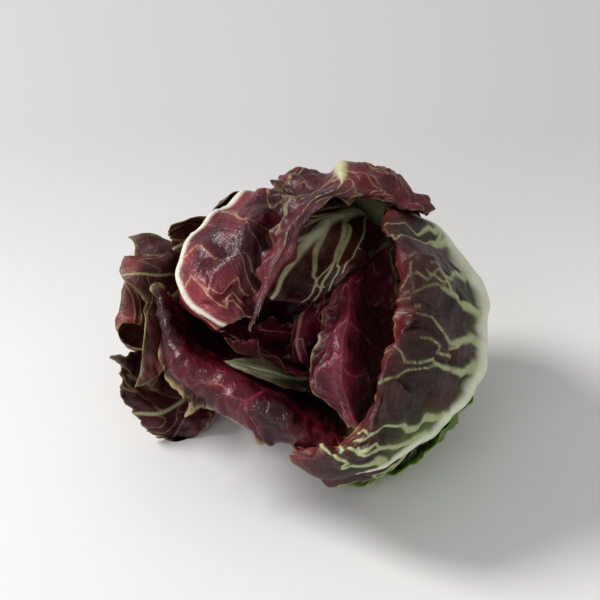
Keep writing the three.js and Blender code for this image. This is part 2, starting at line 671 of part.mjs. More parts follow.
/** A named mesh in one of the head's colours. */
function namedMesh(name, geometry, colour, roughness) {
  const material = new THREE.MeshStandardMaterial({ color: colour, roughness, metalness: 0 });
  const mesh = new THREE.Mesh(geometry, material);
  mesh.name = name;
  return mesh;
}

const head = new THREE.Group();
head.name = 'radicchio_head';
head.add(namedMesh('stump', stumpGeometry(), STUMP_COLOUR, STUMP_ROUGHNESS));

const settled = LEAVES.map(settlingLeaf);
settle(settled);
trimmedSolids(settled).forEach((solid, k) => {
  const leaf = LEAVES[k];
  head.add(namedMesh(leaf.name, geometryOf(solid), leaf.colour, LEAF_ROUGHNESS));
});

// The origin goes under the middle of the whole head.
const middle = new THREE.Box3().setFromObject(head).getCenter(new THREE.Vector3());
head.position.set(-middle.x, -middle.y, 0);

export default head;
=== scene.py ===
"""A loose head of radicchio that lies on its side with its open mouth to the front.

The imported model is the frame. Every leaf of it is rebuilt here as a fine, ruffled and
veined shell. A leaf's sheet runs through the same stations as in the model, and the
leaves settle against each other by the same rule. Each leaf then gets its own ruffles,
bulges and veins, and one shared field of creases bends all of them together.

Lengths are in millimetres until a mesh is made, and Blender's objects are in metres.
"""
import logging
import math
from dataclasses import dataclass, field
from enum import Enum

import bpy
import numpy as np
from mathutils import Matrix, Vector


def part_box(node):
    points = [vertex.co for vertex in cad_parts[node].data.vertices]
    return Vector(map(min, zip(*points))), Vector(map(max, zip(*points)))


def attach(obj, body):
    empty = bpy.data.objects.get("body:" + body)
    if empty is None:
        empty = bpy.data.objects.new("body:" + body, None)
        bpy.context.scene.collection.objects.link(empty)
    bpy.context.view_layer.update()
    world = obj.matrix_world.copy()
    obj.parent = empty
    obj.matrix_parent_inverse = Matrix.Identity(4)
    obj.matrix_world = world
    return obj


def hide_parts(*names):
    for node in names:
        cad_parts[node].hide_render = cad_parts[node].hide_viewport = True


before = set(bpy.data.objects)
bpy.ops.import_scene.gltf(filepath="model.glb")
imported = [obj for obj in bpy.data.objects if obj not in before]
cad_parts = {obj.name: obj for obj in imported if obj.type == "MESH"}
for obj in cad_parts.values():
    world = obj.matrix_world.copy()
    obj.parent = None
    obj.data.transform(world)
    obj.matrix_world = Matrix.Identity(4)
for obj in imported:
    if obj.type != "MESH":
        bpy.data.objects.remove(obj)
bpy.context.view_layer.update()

LOG = logging.getLogger("radicchio")
MILLIMETRE = 0.001
ROOT = "root"


# ---------------------------------------------------------------------------
# Shape helpers
# ---------------------------------------------------------------------------

def unit(vectors: np.ndarray) -> np.ndarray:
    """Scale vectors to length one.

    Args:
        vectors: Any array whose last axis holds x, y and z.

    Returns:
        The same directions, each divided by its own length.
    """
    lengths = np.linalg.norm(vectors, axis=-1, keepdims=True)
    return vectors / np.maximum(lengths, 1e-9)


def smooth_step(low: float, high: float, values: np.ndarray) -> np.ndarray:
    """Ease from 0 to 1 by 3t^2 - 2t^3, where t runs from low to high.

    Args:
        low: The value that gives 0.
        high: The value that gives 1.
        values: What to ease.

    Returns:
        The eased values.
    """
    t = np.clip((values - low) / (high - low), 0.0, 1.0)
    return t * t * (3.0 - 2.0 * t)


def curve_weights(count: int, places: np.ndarray) -> tuple[np.ndarray, np.ndarray]:
    """Catmull-Rom weights: each point is a cubic blend of its four nearest knots.

    The end knots are mirrored, which is the same as adding 2a - b before the first.

    Args:
        count: How many knots the curve has.
        places: Where to read it, from 0 at the first knot to 1 at the last.

    Returns:
        For each place, the index of its first knot and the four weights.
    """
    scaled = np.clip(places, 0.0, 1.0) * (count - 1)
    first = np.minimum(scaled.astype(int), count - 2)
    f = scaled - first
    weights = np.stack([
        -0.5 * f ** 3 + f ** 2 - 0.5 * f,
        1.5 * f ** 3 - 2.5 * f ** 2 + 1.0,
        -1.5 * f ** 3 + 2.0 * f ** 2 + 0.5 * f,
        0.5 * f ** 3 - 0.5 * f ** 2,
    ], axis=-1)
    return first, weights


def padded_ends(grid: np.ndarray) -> np.ndarray:
    """Add a mirrored row, 2a - b, before the first row and after the last."""
    before = 2.0 * grid[:1] - grid[1:2]
    after = 2.0 * grid[-1:] - grid[-2:-1]
    return np.concatenate([before, grid, after])


def read_grid(grid: np.ndarray, along: np.ndarray, across: np.ndarray) -> np.ndarray:
    """Read a smooth sheet: a cubic blend of the sixteen nearest knots.

    Args:
        grid: Knots, as rows by columns by 3.
        along: Where to read down the rows, from 0 to 1.
        across: Where to read over the columns, from 0 to 1, in the same shape.

    Returns:
        The points, in the shape of along with a last axis of 3.
    """
    full = padded_ends(grid)
    full = padded_ends(full.swapaxes(0, 1)).swapaxes(0, 1)
    row, row_weights = curve_weights(grid.shape[0], along)
    column, column_weights = curve_weights(grid.shape[1], across)
    total = np.zeros(along.shape + (3,))
    for i in range(4):
        for j in range(4):
            blend = row_weights[..., i] * column_weights[..., j]
            total += blend[..., None] * full[row + i, column + j]
    return total


def even_places(rows: np.ndarray, steps: int) -> np.ndarray:
    """Cut the mean length of several curves into even steps.

    Args:
        rows: Knots down the first axis and the curves over the second.
        steps: How many steps to cut.

    Returns:
        steps + 1 places from 0 to 1, where each knot spans an equal share.
    """
    spans = np.linalg.norm(np.diff(rows, axis=0), axis=-1).mean(axis=1)
    reached = np.concatenate([[0.0], np.cumsum(spans)])
    targets = np.linspace(0.0, reached[-1], steps + 1)
    return np.interp(targets, reached, np.linspace(0.0, 1.0, len(rows)))


def grid_normals(grid: np.ndarray) -> np.ndarray:
    """The normal at each point of a grid: the step along it crossed with that across."""
    along = np.concatenate([grid[1:2] - grid[:1], grid[2:] - grid[:-2], grid[-1:] - grid[-2:-1]])
    turned = grid.swapaxes(0, 1)
    across = np.concatenate(
        [turned[1:2] - turned[:1], turned[2:] - turned[:-2], turned[-1:] - turned[-2:-1]])
    return unit(np.cross(along, across.swapaxes(0, 1)))


@dataclass(frozen=True)
class Ripples:
    """A smooth random wave in space: a sum of sines of different directions.

    Attributes:
        seed: Picks the directions and phases.
        shortest: Shortest wavelength, in millimetres.
        longest: Longest wavelength, in millimetres.
        count: How many sines are summed.
    """

    seed: int
    shortest: float
    longest: float
    count: int = 9

    def values(self, points: np.ndarray) -> np.ndarray:
        """Sum the sines at each point; the result stays near -1 to 1."""
        draw = np.random.default_rng(self.seed)
        directions = unit(draw.normal(size=(self.count, 3)))
        lengths = np.geomspace(self.shortest, self.longest, self.count)
        phases = draw.uniform(0.0, 2.0 * math.pi, self.count)
        angles = points @ (directions * (2.0 * math.pi / lengths)[:, None]).T + phases
        heights = (lengths / self.longest) ** 0.6
        return np.sin(angles) @ heights / math.sqrt(np.sum(heights ** 2))


# ---------------------------------------------------------------------------
# The stump and how the leaves settle
# ---------------------------------------------------------------------------

@dataclass(frozen=True)
class Stump:
    """The short cut core that carries the leaves, a cone on the axis of the head.

    Attributes:
        foot: A point on the axis, near the cut end.
        axis: The direction out of the cut end.
        cut_radius: Radius at the cut end.
        cut_height: How far the cut end stands out from the foot.
        bevel: How much the rim of the cut is worn.
        tip_radius: Radius at the hidden end.
        tip_height: Where the hidden end is on the axis.
        sides: How many sides its mesh has.
    """

    foot: tuple[float, float, float] = (47.0, 62.0, 50.0)
    axis: tuple[float, float, float] = (0.29, 0.954, -0.072)
    cut_radius: float = 11.5
    cut_height: float = 5.0
    bevel: float = 1.2
    tip_radius: float = 2.2
    tip_height: float = -22.0
    sides: int = 128

    def directions(self) -> tuple[np.ndarray, np.ndarray, np.ndarray]:
        """The axis, and the two directions across it: to the right, and down."""
        axis = unit(np.array(self.axis))
        right = np.array([1.0, 0.0, 0.0])
        right = unit(right - axis * (right @ axis))
        return axis, right, np.cross(axis, right)

    def points(self, turns: np.ndarray, heights: np.ndarray, radii: np.ndarray) -> np.ndarray:
        """Points at turns in degrees, heights and radii: foot + h axis + r (cos, sin)."""
        axis, right, down = self.directions()
        angles = np.radians(turns)[..., None]
        around = np.cos(angles) * right + np.sin(angles) * down
        return np.array(self.foot) + heights[..., None] * axis + radii[..., None] * around

    def keep_off(self, points: np.ndarray, halves: np.ndarray, gap: float) -> np.ndarray:
        """Move points out of the cone, straight away from its axis.

        Args:
            points: Points of a leaf's sheet.
            halves: Half the leaf's thickness at each of them.
            gap: What stays free between leaf and stump.

        Returns:
            The points, moved where they were too close.
        """
        axis = self.directions()[0]
        from_foot = points - np.array(self.foot)
        height = from_foot @ axis
        radial = from_foot - height[..., None] * axis
        radius = np.linalg.norm(radial, axis=-1)
        share = (height - self.tip_height) / (self.cut_height - self.tip_height)
        cone = self.tip_radius + (self.cut_radius - self.tip_radius) * share
        clear = cone + halves + gap
        inside = (share > 0.0) & (share < 1.0) & (radius < clear)
        moved = points + unit(radial) * (clear - radius)[..., None]
        return np.where(inside[..., None], moved, points)


STUMP = Stump()


@dataclass(frozen=True)
class Thickness:
    """How thick a leaf is: a thin blade, and a rib that thins out towards the tip."""

    blade: float = 1.0
    rib: float = 1.7
    rib_width: float = 0.16

    def halves(self, along: np.ndarray, across: np.ndarray) -> np.ndarray:
        """Half of blade + rib exp(-(d/w)^2) (1 - along)^1.5, with d from the middle."""
        distance = np.abs(2.0 * across - 1.0)
        bump = np.exp(-(distance / self.rib_width) ** 2)
        return 0.5 * (self.blade + self.rib * bump * (1.0 - along) ** 1.5)


@dataclass
class Sheet:
    """A leaf's smooth sheet while it settles, as a coarse grid of points.

    Attributes:
        grid: The points, foot first.
        side: 1 where the grid's normal points outwards, and -1 where it points inwards.
        halves: Half the leaf's thickness at each point.
    """

    grid: np.ndarray
    side: float
    halves: np.ndarray
    start: np.ndarray = field(init=False)
    normals: np.ndarray = field(init=False)
    push: np.ndarray = field(init=False)
    pushes: np.ndarray = field(init=False)

    def __post_init__(self) -> None:
        """Remember where the sheet began, and clear its pushes."""
        self.start = self.grid.copy()
        self.clear_pushes()

    def clear_pushes(self) -> None:
        """Forget every push."""
        self.push = np.zeros_like(self.grid)
        self.pushes = np.zeros(self.grid.shape[:2])

    def add_push(self, rows: np.ndarray, columns: np.ndarray, amounts: np.ndarray) -> None:
        """Add pushes at grid places, and count them."""
        np.add.at(self.push, (rows, columns), amounts)
        np.add.at(self.pushes, (rows, columns), 1.0)


@dataclass(frozen=True)
class LeafBed:
    """The rule by which leaves push each other apart until they lie free.

    Attributes:
        steps_along: Grid steps from the foot of a leaf to its tip.
        steps_across: Grid steps from margin to margin.
        gap: Free space to keep between two leaves.
        stump_gap: Free space to keep from the stump.
        rounds: How many times all the leaves push.
        reach: How far two leaves may have crossed and still be pushed back.
        side_reach: How far past its margin a leaf still pushes.
        step: Share of the missing space that is made up in a round.
        evenness: How strongly neighbouring points share their shifts.
        longest_push: The most that a point moves in a round.
        same_way: How well two leaves' faces must agree to count as inner and outer.
        floor: The lowest that a sheet may lie.
    """

    steps_along: int = 14
    steps_across: int = 10
    gap: float = 0.9
    stump_gap: float = 0.5
    rounds: int = 80
    reach: float = 13.0
    side_reach: float = 5.0
    step: float = 0.4
    evenness: float = 0.5
    longest_push: float = 1.2
    same_way: float = 0.2
    floor: float = 0.1

    def sheet(self, rows: np.ndarray, side: float) -> Sheet:
        """Lay an even grid on the smooth surface through a leaf's rows of points.

        Args:
            rows: Stations from the foot to the tip, by points across, by 3.
            side: 1 where the sheet's normal points outwards, else -1.

        Returns:
            The sheet, ready to settle.
        """
        along = even_places(rows, self.steps_along)
        knots = np.linspace(0.0, 1.0, rows.shape[1])
        lengthwise = read_grid(rows, *np.meshgrid(along, knots, indexing="ij"))
        across = even_places(lengthwise.swapaxes(0, 1), self.steps_across)
        level = np.linspace(0.0, 1.0, self.steps_along + 1)
        grid = read_grid(lengthwise, *np.meshgrid(level, across, indexing="ij"))
        shares = np.linspace(0.0, 1.0, self.steps_across + 1)
        halves = Thickness().halves(*np.meshgrid(level, shares, indexing="ij"))
        return Sheet(grid, side, halves)

    def push_apart(self, a: Sheet, b: Sheet, side: float) -> None:
        """Push sheet a to its side of sheet b where it is too close, and b the other way.

        Args:
            a: The sheet whose points look for the nearest point of b.
            b: The sheet that they look at.
            side: 1 where a lies outside b, and -1 where it lies inside.
        """
        corners = b.grid.reshape(-1, 3)
        low = corners.min(axis=0) - self.side_reach
        high = corners.max(axis=0) + self.side_reach
        inside = np.all((a.grid >= low) & (a.grid <= high), axis=-1)
        inside[0] = False
        rows, columns = np.nonzero(inside)
        if not len(rows):
            return
        points = a.grid[rows, columns]
        apart = points[:, None, :] - corners[None]
        squares = np.einsum("ijk,ijk->ij", apart, apart)
        nearest = np.argmin(squares, axis=1)
        near_rows, near_columns = np.divmod(nearest, b.grid.shape[1])
        picked = np.arange(len(rows))
        normals = b.normals[near_rows, near_columns]
        height = np.einsum("ij,ij->i", apart[picked, nearest], normals)
        aside = np.sqrt(np.maximum(squares[picked, nearest] - height ** 2, 0.0))
        agreement = np.einsum("ij,ij->i", a.normals[rows, columns], normals)
        facing = np.where(agreement > self.same_way, side, np.sign(height))
        above = height * facing
        room = a.halves[rows, columns] + b.halves[near_rows, near_columns] + self.gap
        tight = (aside < self.side_reach) & (above < room) & (above > -self.reach)
        push = (self.step * (room - above) * facing)[:, None] * normals
        a.add_push(rows[tight], columns[tight], push[tight])
        b.add_push(near_rows[tight], near_columns[tight], -push[tight])

    def apply(self, sheet: Sheet) -> None:
        """Move a sheet by its mean pushes, even out its shifts, and keep it in bounds."""
        mean = sheet.push / np.maximum(sheet.pushes, 1.0)[..., None]
        length = np.linalg.norm(mean, axis=-1, keepdims=True)
        mean *= np.minimum(1.0, self.longest_push / np.maximum(length, 1e-9))
        shift = sheet.grid + mean - sheet.start
        sheet.clear_pushes()
        rows = np.arange(len(shift))
        columns = np.arange(shift.shape[1])
        around = 0.25 * (
            shift[np.minimum(rows + 1, rows[-1])]
            + shift[np.maximum(rows - 1, 0)]
            + shift[:, np.maximum(columns - 1, 0)]
            + shift[:, np.minimum(columns + 1, columns[-1])])
        even = sheet.start + shift + (around - shift) * self.evenness
        even = STUMP.keep_off(even, sheet.halves, self.stump_gap)
        even[..., 2] = np.maximum(even[..., 2], self.floor)
        sheet.grid[1:] = even[1:]

    def settle(self, sheets: list[Sheet]) -> None:
        """Let all the sheets, inner ones first, push each other apart."""
        for _ in range(self.rounds):
            for sheet in sheets:
                sheet.normals = grid_normals(sheet.grid) * sheet.side
            for k, inner in enumerate(sheets):
                for outer in sheets[k + 1:]:
                    self.push_apart(outer, inner, 1.0)
                    self.push_apart(inner, outer, -1.0)
            for sheet in sheets:
                self.apply(sheet)


# ---------------------------------------------------------------------------
# Veins
# ---------------------------------------------------------------------------

# Keeps a midrib's draws apart from those of the side veins.
RIB_SEED = 500
# Width of a fork, as a share of the vein that it leaves.
FORK_WIDTH = 0.62
# Points that are measured at a time, so that the arrays stay small.
BATCH = 3000
# Length of margin, in millimetres, that the notches are drawn along.
MARGIN_LENGTH = 100.0
# The shortest wave, the longest and how many of them make up each kind of relief.
NOTCHES = (1.6, 24.0, 12)
RUFFLES = (6.5, 24.0, 9)
PUCKERS = (3.2, 15.0, 12)
DENTS = (9.0, 22.0, 12)
# Keep the draws of the left margin, the right one and the tip apart.
EDGE_SEEDS = (31, 32, 33)


@dataclass(frozen=True)
class VeinLines:
    """A leaf's veins as short straight pieces, in space, with their widths.

    Attributes:
        starts: First end of each piece.
        ends: Second end of each piece.
        widths: Width of each piece, in millimetres.
    """

    starts: np.ndarray
    ends: np.ndarray
    widths: np.ndarray

    def distances(self, points: np.ndarray) -> tuple[np.ndarray, np.ndarray]:
        """How far points are from the veins.

        The nearest place on a piece is a + t (b - a), with t the share of the way along
        it, kept between 0 and 1.

        Args:
            points: Points of the leaf's sheet, as rows of x, y and z.

        Returns:
            The least distance in vein widths, and the least distance in millimetres.
        """
        along = self.ends - self.starts
        squares = np.maximum(np.sum(along ** 2, axis=1), 1e-9)
        least_widths = np.empty(len(points))
        least = np.empty(len(points))
        for low in range(0, len(points), BATCH):
            p = points[low:low + BATCH]
            share = (p @ along.T - np.sum(self.starts * along, axis=1)) / squares
            share = np.clip(share, 0.0, 1.0)
            from_start = (
                np.sum(p ** 2, axis=1)[:, None]
                + np.sum(self.starts ** 2, axis=1)
                - 2.0 * p @ self.starts.T)
            cross = (p @ along.T - np.sum(self.starts * along, axis=1)) * share
            squared = np.maximum(from_start - 2.0 * cross + share ** 2 * squares, 0.0)
            least_widths[low:low + BATCH] = np.sqrt((squared / self.widths ** 2).min(axis=1))
            least[low:low + BATCH] = np.sqrt(squared.min(axis=1))
        return least_widths, least


@dataclass(frozen=True)
class VeinHabit:
    """How a leaf's veins grow, in shares of its length and of its breadth.

    Attributes:
        rib: The column of the leaf's stations that the midrib follows.
        rib_foot: Width of the midrib at the foot, in millimetres.
        rib_tip: Width of the midrib at the tip.
        rib_start: Where the midrib comes to its full width.
        rib_end: How far up the leaf the midrib stays plain to see.
        pairs: Side veins on each side.
        first: Where the first pair leaves the rib, along the leaf.
        last: Where the last pair leaves it.
        rise: How far a side vein climbs on its way to the margin.
        bend: Above 1 a side vein leaves the rib steeply and then turns up.
        wander: How much a vein strays from its smooth line.
        width: Width of a side vein at the rib, in millimetres.
        taper: How fast it thins out towards the margin.
        least: Width that no vein falls below, in millimetres, so that the mesh can carry it.
        fade: How far from the midrib the side veins stay plain, in millimetres.
        forks: Branches of each side vein.
        seed: Picks the strays, starts and forks.
    """

    rib: float
    rib_foot: float = 4.5
    rib_tip: float = 1.0
    rib_start: float = 0.0
    rib_end: float = 1.0
    pairs: int = 8
    first: float = 0.1
    last: float = 0.9
    rise: float = 0.22
    bend: float = 1.3
    wander: float = 0.02
    width: float = 0.95
    taper: float = 1.0
    least: float = 0.65
    fade: float = 90.0
    forks: int = 3
    seed: int = 1

    def stray(self, draw: np.random.Generator, t: np.ndarray) -> np.ndarray:
        """A smooth wander that starts at 0: three sines of 1, 2.3 and 4.1 waves."""
        waves = np.array([1.0, 2.3, 4.1])
        heights = draw.normal(size=3) * np.array([1.0, 0.55, 0.3])
        phases = draw.uniform(0.0, 2.0 * math.pi, 3)
        angles = 2.0 * math.pi * waves[:, None] * t + phases[:, None]
        return self.wander * heights @ (np.sin(angles) - np.sin(phases)[:, None])

    def side_vein(self, draw: np.random.Generator, rib: float, start: float,
                  side: float) -> list[tuple[np.ndarray, np.ndarray, np.ndarray]]:
        """One side vein and its forks.

        The vein goes from the rib to the margin at a steady pace while it climbs by
        rise t^bend. A fork leaves it at some t and drifts away from it steadily.

        Args:
            draw: Source of the strays.
            rib: Where the rib lies across the leaf.
            start: Where the vein leaves the rib along the leaf.
            side: 1 to one margin, -1 to the other.

        Returns:
            Lines, each as places along, places across and widths.
        """
        t = np.linspace(0.0, 1.0, 15)
        run = (1.0 - rib) if side > 0.0 else rib
        reach = draw.uniform(0.86, 1.0)
        rise = self.rise * draw.uniform(0.75, 1.3)
        along = start + rise * t ** self.bend + self.stray(draw, t)
        across = rib + side * run * reach * t
        thinned = 0.85 * (1.0 - t) ** self.taper + 0.15
        widths = np.maximum(self.width * draw.uniform(0.7, 1.2) * thinned, self.least)
        lines = [(along, across, widths)]
        for _ in range(self.forks):
            left = draw.uniform(0.12, 0.78)
            where = t[t >= left]
            spread = draw.uniform(0.4, 1.1) * self.rise * draw.choice([-1.0, 1.0])
            drift = spread * (where - where[0]) ** 0.9 + self.stray(draw, where - where[0])
            short = draw.uniform(0.45, 1.0)
            keep = max(int(len(where) * short), 2)
            lines.append((
                (along[t >= left] + drift)[:keep],
                across[t >= left][:keep],
                np.maximum(widths[t >= left][:keep] * FORK_WIDTH, self.least)))
        return lines

    def lines(self, rib: float) -> list[tuple[np.ndarray, np.ndarray, np.ndarray]]:
        """Every side vein of the leaf.

        Args:
            rib: Where the rib lies across the leaf.

        Returns:
            Lines, each as places along, places across and widths.
        """
        draw = np.random.default_rng(self.seed)
        lines = []
        for k in range(self.pairs):
            share = k / max(self.pairs - 1, 1)
            for side in (-1.0, 1.0):
                start = self.first + (self.last - self.first) * share
                start += draw.uniform(-0.3, 0.3) / self.pairs
                lines += self.side_vein(draw, rib, start, side)
        return lines

    def rib_line(self, rib: float) -> tuple[np.ndarray, np.ndarray, np.ndarray]:
        """The midrib, as places along and across and its tapering width."""
        draw = np.random.default_rng(self.seed + RIB_SEED)
        t = np.linspace(0.0, 1.0, 40)
        widths = self.rib_tip + (self.rib_foot - self.rib_tip) * (1.0 - t) ** 1.3
        widths *= 1.0 - smooth_step(self.rib_end, self.rib_end + REACH.rib_fade, t) * 0.97
        grown = smooth_step(self.rib_start - REACH.rib_fade, self.rib_start, t)
        widths *= 0.15 + 0.85 * grown
        return t, rib + 0.5 * self.stray(draw, t), widths


# ---------------------------------------------------------------------------
# Leaves
# ---------------------------------------------------------------------------

class Face(Enum):
    """The two faces of a leaf, and the value that marks each of them."""

    OUTER = 0.0
    INNER = 1.0


@dataclass(frozen=True)
class Relief:
    """How far a leaf's surface departs from its smooth sheet, in millimetres.

    Attributes:
        frill: Height of the ruffles along the margins.
        frill_depth: How far in from the margin the ruffles reach.
        blister: How far the blade bulges to its inner face between the veins.
        blister_width: How far from a vein the bulge has nearly come to full height.
        crumple: Depth of the broad dents that run over the whole blade.
        pucker: Height of the small uneven folds of the blade.
        ragged: How far the margin is notched, as a share of the breadth.
        ridge: How far the veins stand out of the outer face.
        blade: Thickness of the blade.
        rim: Width of the pale edge.
        seed: Picks the ruffles, folds and notches.
    """

    frill: float = 1.8
    frill_depth: float = 9.0
    blister: float = 0.9
    blister_width: float = 3.4
    crumple: float = 0.0
    pucker: float = 0.38
    ragged: float = 0.03
    ridge: float = 0.35
    blade: float = 0.7
    rim: float = 0.9
    seed: int = 1


@dataclass(frozen=True)
class Reach:
    """How far in what varies over a leaf spreads, in millimetres.

    Attributes:
        calm_rib: From the midrib, where the relief is held down.
        rib_halo: From the midrib, the halo.
        vein_halo: From a side vein, the halo.
        lip: From the margin, the coloured band.
        worn_edge: From the margin, where the blade thins out.
        open_from: Share of the length where the relief starts; below it the leaf is packed.
        open_to: Share of the length where the relief has come to full height.
        rib_fade: Share of the length over which the midrib ends.
    """

    calm_rib: float = 6.0
    rib_halo: float = 9.0
    vein_halo: float = 2.6
    lip: float = 7.0
    worn_edge: float = 2.0
    open_from: float = 0.12
    open_to: float = 0.5
    rib_fade: float = 0.15


REACH = Reach()


@dataclass(frozen=True)
class Section:
    """How a vein and the midrib look when cut across.

    Each is a bell, and a greater steepness makes it narrower against the vein's width.

    Attributes:
        ridge: Steepness of a side vein's ridge.
        vein: Steepness of its colour.
        bar: Steepness of the midrib.
        rib: Steepness of its colour.
        rise: How far the midrib stands out, as a share of its width.
        inward: How much of that it also stands out on the inner face.
        thinning: How fast the midrib thins out to the tip; 1 is evenly.
    """

    ridge: float = 1.7
    vein: float = 1.9
    bar: float = 1.5
    rib: float = 1.35
    rise: float = 0.3
    inward: float = 0.45
    thinning: float = 1.3


SECTION = Section()


@dataclass(frozen=True)
class Creases:
    """One field of folds in space that bends every leaf alike.

    Attributes:
        height: How far the field moves a point, in millimetres.
        shortest: Its shortest wave.
        longest: Its longest wave.
        calm: Height above the surface where the field has come to full strength.
        seeds: Pick the waves along x, y and z.
    """

    height: float = 1.5
    shortest: float = 15.0
    longest: float = 55.0
    calm: float = 14.0
    seeds: tuple[int, int, int] = (11, 12, 13)

    def bend(self, points: np.ndarray) -> np.ndarray:
        """Move points by height (w1, w2, w3), which fades out near the surface below."""
        waves = [Ripples(seed, self.shortest, self.longest).values(points) for seed in self.seeds]
        fade = smooth_step(0.0, self.calm, points[..., 2])
        return points + self.height * fade[..., None] * np.stack(waves, axis=-1)


@dataclass(frozen=True)
class LeafPlan:
    """Everything that makes one leaf differ from the others.

    Attributes:
        name: The leaf's name, which is its node's name too.
        turn: Where its foot sits round the stump, in degrees: 0 right, 90 down.
        spread: How far its foot reaches to either side, in degrees.
        height: Where its foot sits along the stump's axis.
        radius: How far its foot is from the axis.
        stations: Rows of points across the leaf, from the foot to the tip.
        veins: How its veins grow.
        relief: How its surface is shaped.
        finish: What it looks like.
        slot: The name of the leaf's material slot; it is not used.
        rows: Points along the finished mesh.
        columns: Points across it.
    """

    name: str
    turn: float
    spread: float
    height: float
    radius: float
    stations: tuple
    veins: VeinHabit
    relief: Relief
    finish: "LeafFinish"
    slot: str
    rows: int = 170
    columns: int = 150

    def frame_rows(self) -> np.ndarray:
        """The foot on the stump, followed by the stations."""
        across = np.linspace(-1.0, 1.0, len(self.stations[0]))
        turns = self.turn + across * self.spread
        level = np.ones_like(turns)
        foot = STUMP.points(turns, self.height * level, self.radius * level)
        return np.concatenate([foot[None], np.array(self.stations, dtype=float)])

    def side(self) -> float:
        """1 where the sheet's own normal points outwards, and -1 where it points in."""
        return math.copysign(1.0, self.spread)

    def rib_place(self, bed: LeafBed) -> float:
        """Where the rib's column comes to lie across the evenly divided sheet."""
        rows = self.frame_rows()
        along = even_places(rows, bed.steps_along)
        knots = np.linspace(0.0, 1.0, rows.shape[1])
        lengthwise = read_grid(rows, *np.meshgrid(along, knots, indexing="ij"))
        across = even_places(lengthwise.swapaxes(0, 1), bed.steps_across)
        column = self.veins.rib / (rows.shape[1] - 1)
        return float(np.interp(column, across, np.linspace(0.0, 1.0, len(across))))


@dataclass
class LeafShape:
    """A leaf's finished form, as a grid of points with what varies over it.

    Attributes:
        points: The middle of the leaf, rows from foot to tip.
        normals: Its outward normals.
        outer_half: From the middle to the outer face, in millimetres.
        inner_half: From the middle to the inner face.
        marks: Named values from 0 to 1 at every point.
        plane: Distances across and along the leaf, for patterns that follow it.
    """

    points: np.ndarray
    normals: np.ndarray
    outer_half: np.ndarray
    inner_half: np.ndarray
    marks: dict[str, np.ndarray]
    plane: np.ndarray


